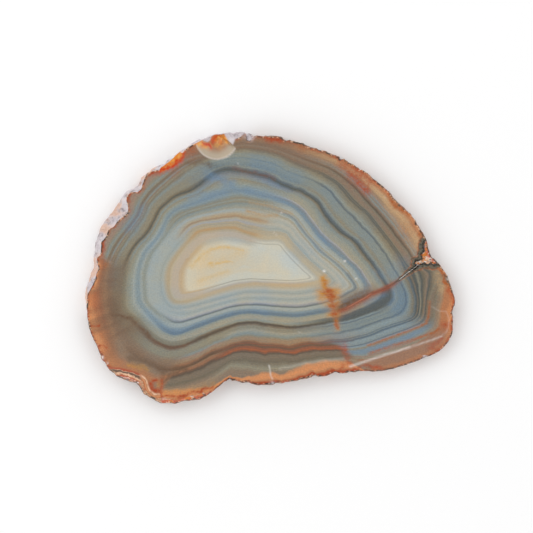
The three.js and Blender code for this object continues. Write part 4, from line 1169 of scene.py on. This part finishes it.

# The fissure's hairline: a painted white glint at its open end, then dark, then a pink healed line that
# fades.
CRACK_WIDTH = 0.13
gap = calculate("ABSOLUTE", attribute("fissure"))
along = attribute("along")
# The white where the fissure is open is a painted glint. The umber and pink beyond it are the crack's own
# colour.
crack_and_glint_colour = blend(rescale(along, 0.24, 0.3), "white", "umber")
crack_and_glint_colour = blend(rescale(along, 0.56, 0.64), crack_and_glint_colour, "pink_line")
crack_strength = minus(0.9, times(rescale(along, 0.3, 0.6), 0.3))
crack_strength = times(crack_strength, rescale(along, 0.94, 0.84))
crack_strength = times(crack_strength, rescale(speckle, 0.3, 0.55, 0.4, 1))
crack_edge = plus(minus(gap, CRACK_WIDTH), times(rescale(along, 0.5, 0.62), 0.02))
colour = blend(times(rescale(crack_edge, 0.05, -0.08), crack_strength), colour, crack_and_glint_colour)

# The large chip's bowl, from its fawn middle to its pale rim, and the fiery stain above it.
shell_colour = blend(rescale(attribute("chip_share"), 0.45, 0.8), "fawn_shell", "shell")
shell_colour = blend(speckled(3.5, 3, 0.5, 0.4, 0.65, 0, 0.15), shell_colour, "cream")
pale_rim = rescale(attribute("chip_share"), 0.86, 0.97)
shell_colour = blend(times(pale_rim, 0.3), shell_colour, "wash")
colour = blend(attribute("chip"), colour, shell_colour)
ember_colour = blend(speckled(1.8, 3, 0.6, 0.42, 0.58), "ember", "yolk")
colour = blend(worn("ember", 0.4), colour, ember_colour)
colour = blend(worn("scorch", 0.35), colour, "scorch")

# The broken lilac-white skin, peach and dirty in patches, and the brown hide of the whole wall.
skin_colour = blend(speckled(3, 5, 0.6, 0.35, 0.65), "skin", "wash")
skin_colour = blend(speckled(1.3, 4, 0.6, 0.5, 0.66, 0, 0.7), skin_colour, "shade")
flush = times(speckled(6, 3, 0.5, 0.46, 0.62, 0, 0.8), attribute("flush"))
skin_colour = blend(flush, skin_colour, "wall_peach")
dirt = times(speckled(2.5, 4, 0.6, 0.6, 0.7, 0, 0.8), attribute("flush"))
skin_colour = blend(dirt, skin_colour, "brown")
hide_colour = blend(speckled(2.4, 5, 0.65, 0.36, 0.62), "russet", "mocha")
hide_colour = blend(speckled(1.1, 4, 0.65, 0.5, 0.62, 0, 0.8), hide_colour, "umber")
colour = blend(attribute("hide"), colour, hide_colour)
colour = blend(attribute("crust"), colour, skin_colour)
links.new(colour, shader.inputs["Base Color"])

# The polish of the face, and the roughness of what was never polished.
POLISHED_ROUGHNESS, SKIN_ROUGHNESS, CHIP_ROUGHNESS = 0.14, 0.62, 0.14
BUMP_STRENGTH, BUMP_HEIGHT = 0.5, 0.0006
QUARTZ_IOR = 1.54
rough_mask = larger(attribute("crust"), larger(attribute("crystal"), in_notch))
rough_mask = larger(rough_mask, attribute("hide"))
rough_mask = larger(rough_mask, times(attribute("corner"), 0.7))
roughness = rescale(rough_mask, 0, 1, POLISHED_ROUGHNESS, SKIN_ROUGHNESS)
roughness = plus(roughness, times(attribute("chip"), CHIP_ROUGHNESS), clamp=True)
links.new(roughness, shader.inputs["Roughness"])

rough_height = times(noise(1.1, 6, 0.65), rough_mask)
fine_height = times(noise(0.3, 2), 0.01)
bump = nodes.new("ShaderNodeBump")
bump.inputs["Strength"].default_value = BUMP_STRENGTH
bump.inputs["Distance"].default_value = BUMP_HEIGHT
links.new(plus(rough_height, fine_height), bump.inputs["Height"])
links.new(bump.outputs["Normal"], shader.inputs["Normal"])
shader.inputs["IOR"].default_value = QUARTZ_IOR

mesh.materials.append(material)
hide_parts(NODE)
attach(stone, "root")

# The table and the light.
# A plain pale surface, lit softly from all round, with less light straight above so that the
# polished face stays clear of glare.
FLOOR_SIZE = 3.0
FLOOR_TINT = (0.98, 0.98, 0.98, 1)
SKY_STRENGTH = 1.16
SKY_TOP_TINT = (0.25, 0.25, 0.25, 1)
SKY_TOP_BEGINS, SKY_TOP_WHOLE = 0.75, 0.97  # height on the unit sphere of directions
floor_mesh = bpy.data.meshes.new("floor")
half = FLOOR_SIZE / 2
floor_mesh.from_pydata(
    [(-half, -half, 0), (half, -half, 0), (half, half, 0), (-half, half, 0)], [], [(0, 1, 2, 3)])
floor = bpy.data.objects.new("floor", floor_mesh)
bpy.context.scene.collection.objects.link(floor)
floor_material = bpy.data.materials.new("pale_table")
floor_material.use_nodes = True
floor_shader = floor_material.node_tree.nodes["Principled BSDF"]
floor_shader.inputs["Base Color"].default_value = FLOOR_TINT
floor_shader.inputs["Roughness"].default_value = 0.9
floor_shader.inputs["Specular IOR Level"].default_value = 0.0
floor_mesh.materials.append(floor_material)

world = bpy.data.worlds.new("studio")
world.use_nodes = True
bpy.context.scene.world = world
sky_nodes, sky_links = world.node_tree.nodes, world.node_tree.links
sky_place = sky_nodes.new("ShaderNodeTexCoord")
sky_axes = sky_nodes.new("ShaderNodeSeparateXYZ")
sky_ramp = sky_nodes.new("ShaderNodeValToRGB")
sky_links.new(sky_place.outputs["Generated"], sky_axes.inputs["Vector"])
sky_links.new(sky_axes.outputs["Z"], sky_ramp.inputs["Fac"])
sky_links.new(sky_ramp.outputs["Color"], sky_nodes["Background"].inputs["Color"])
sides, top = sky_ramp.color_ramp.elements
sides.position = SKY_TOP_BEGINS
sides.color = (1, 1, 1, 1)
top.position = SKY_TOP_WHOLE
top.color = SKY_TOP_TINT
sky_nodes["Background"].inputs["Strength"].default_value = SKY_STRENGTH

# One square lamp at the upper left faces the slice.
LAMP_PLACE = (-0.5, 0.35, 0.6)
LAMP_SIZE = 0.8
LAMP_POWER = 1.2
light = bpy.data.lights.new("key", "AREA")
light.size = LAMP_SIZE
light.energy = LAMP_POWER
lamp = bpy.data.objects.new("key", light)
lamp.location = LAMP_PLACE
lamp.rotation_euler = (-lamp.location).to_track_quat("-Z", "Y").to_euler()
bpy.context.scene.collection.objects.link(lamp)

# The camera looks straight down on the slice, as in the photograph.
CAMERA_HEIGHT = 1.0
FRAME_WIDTH = 0.1599  # what the picture shows from side to side, near the height of the face
VIEW_CENTRE = (-0.00105, 0.00045)
SENSOR_WIDTH = 36
NEAR_CLIP = 0.01
camera_data = bpy.data.cameras.new("camera")
camera_data.sensor_width = SENSOR_WIDTH
camera_data.lens = SENSOR_WIDTH * (CAMERA_HEIGHT - 0.8 * THICKNESS * MM) / FRAME_WIDTH
camera_data.clip_start = NEAR_CLIP
camera = bpy.data.objects.new("camera", camera_data)
camera.location = (*VIEW_CENTRE, CAMERA_HEIGHT)
bpy.context.scene.collection.objects.link(camera)
bpy.context.scene.camera = camera
bpy.context.scene.view_settings.view_transform = "Standard"
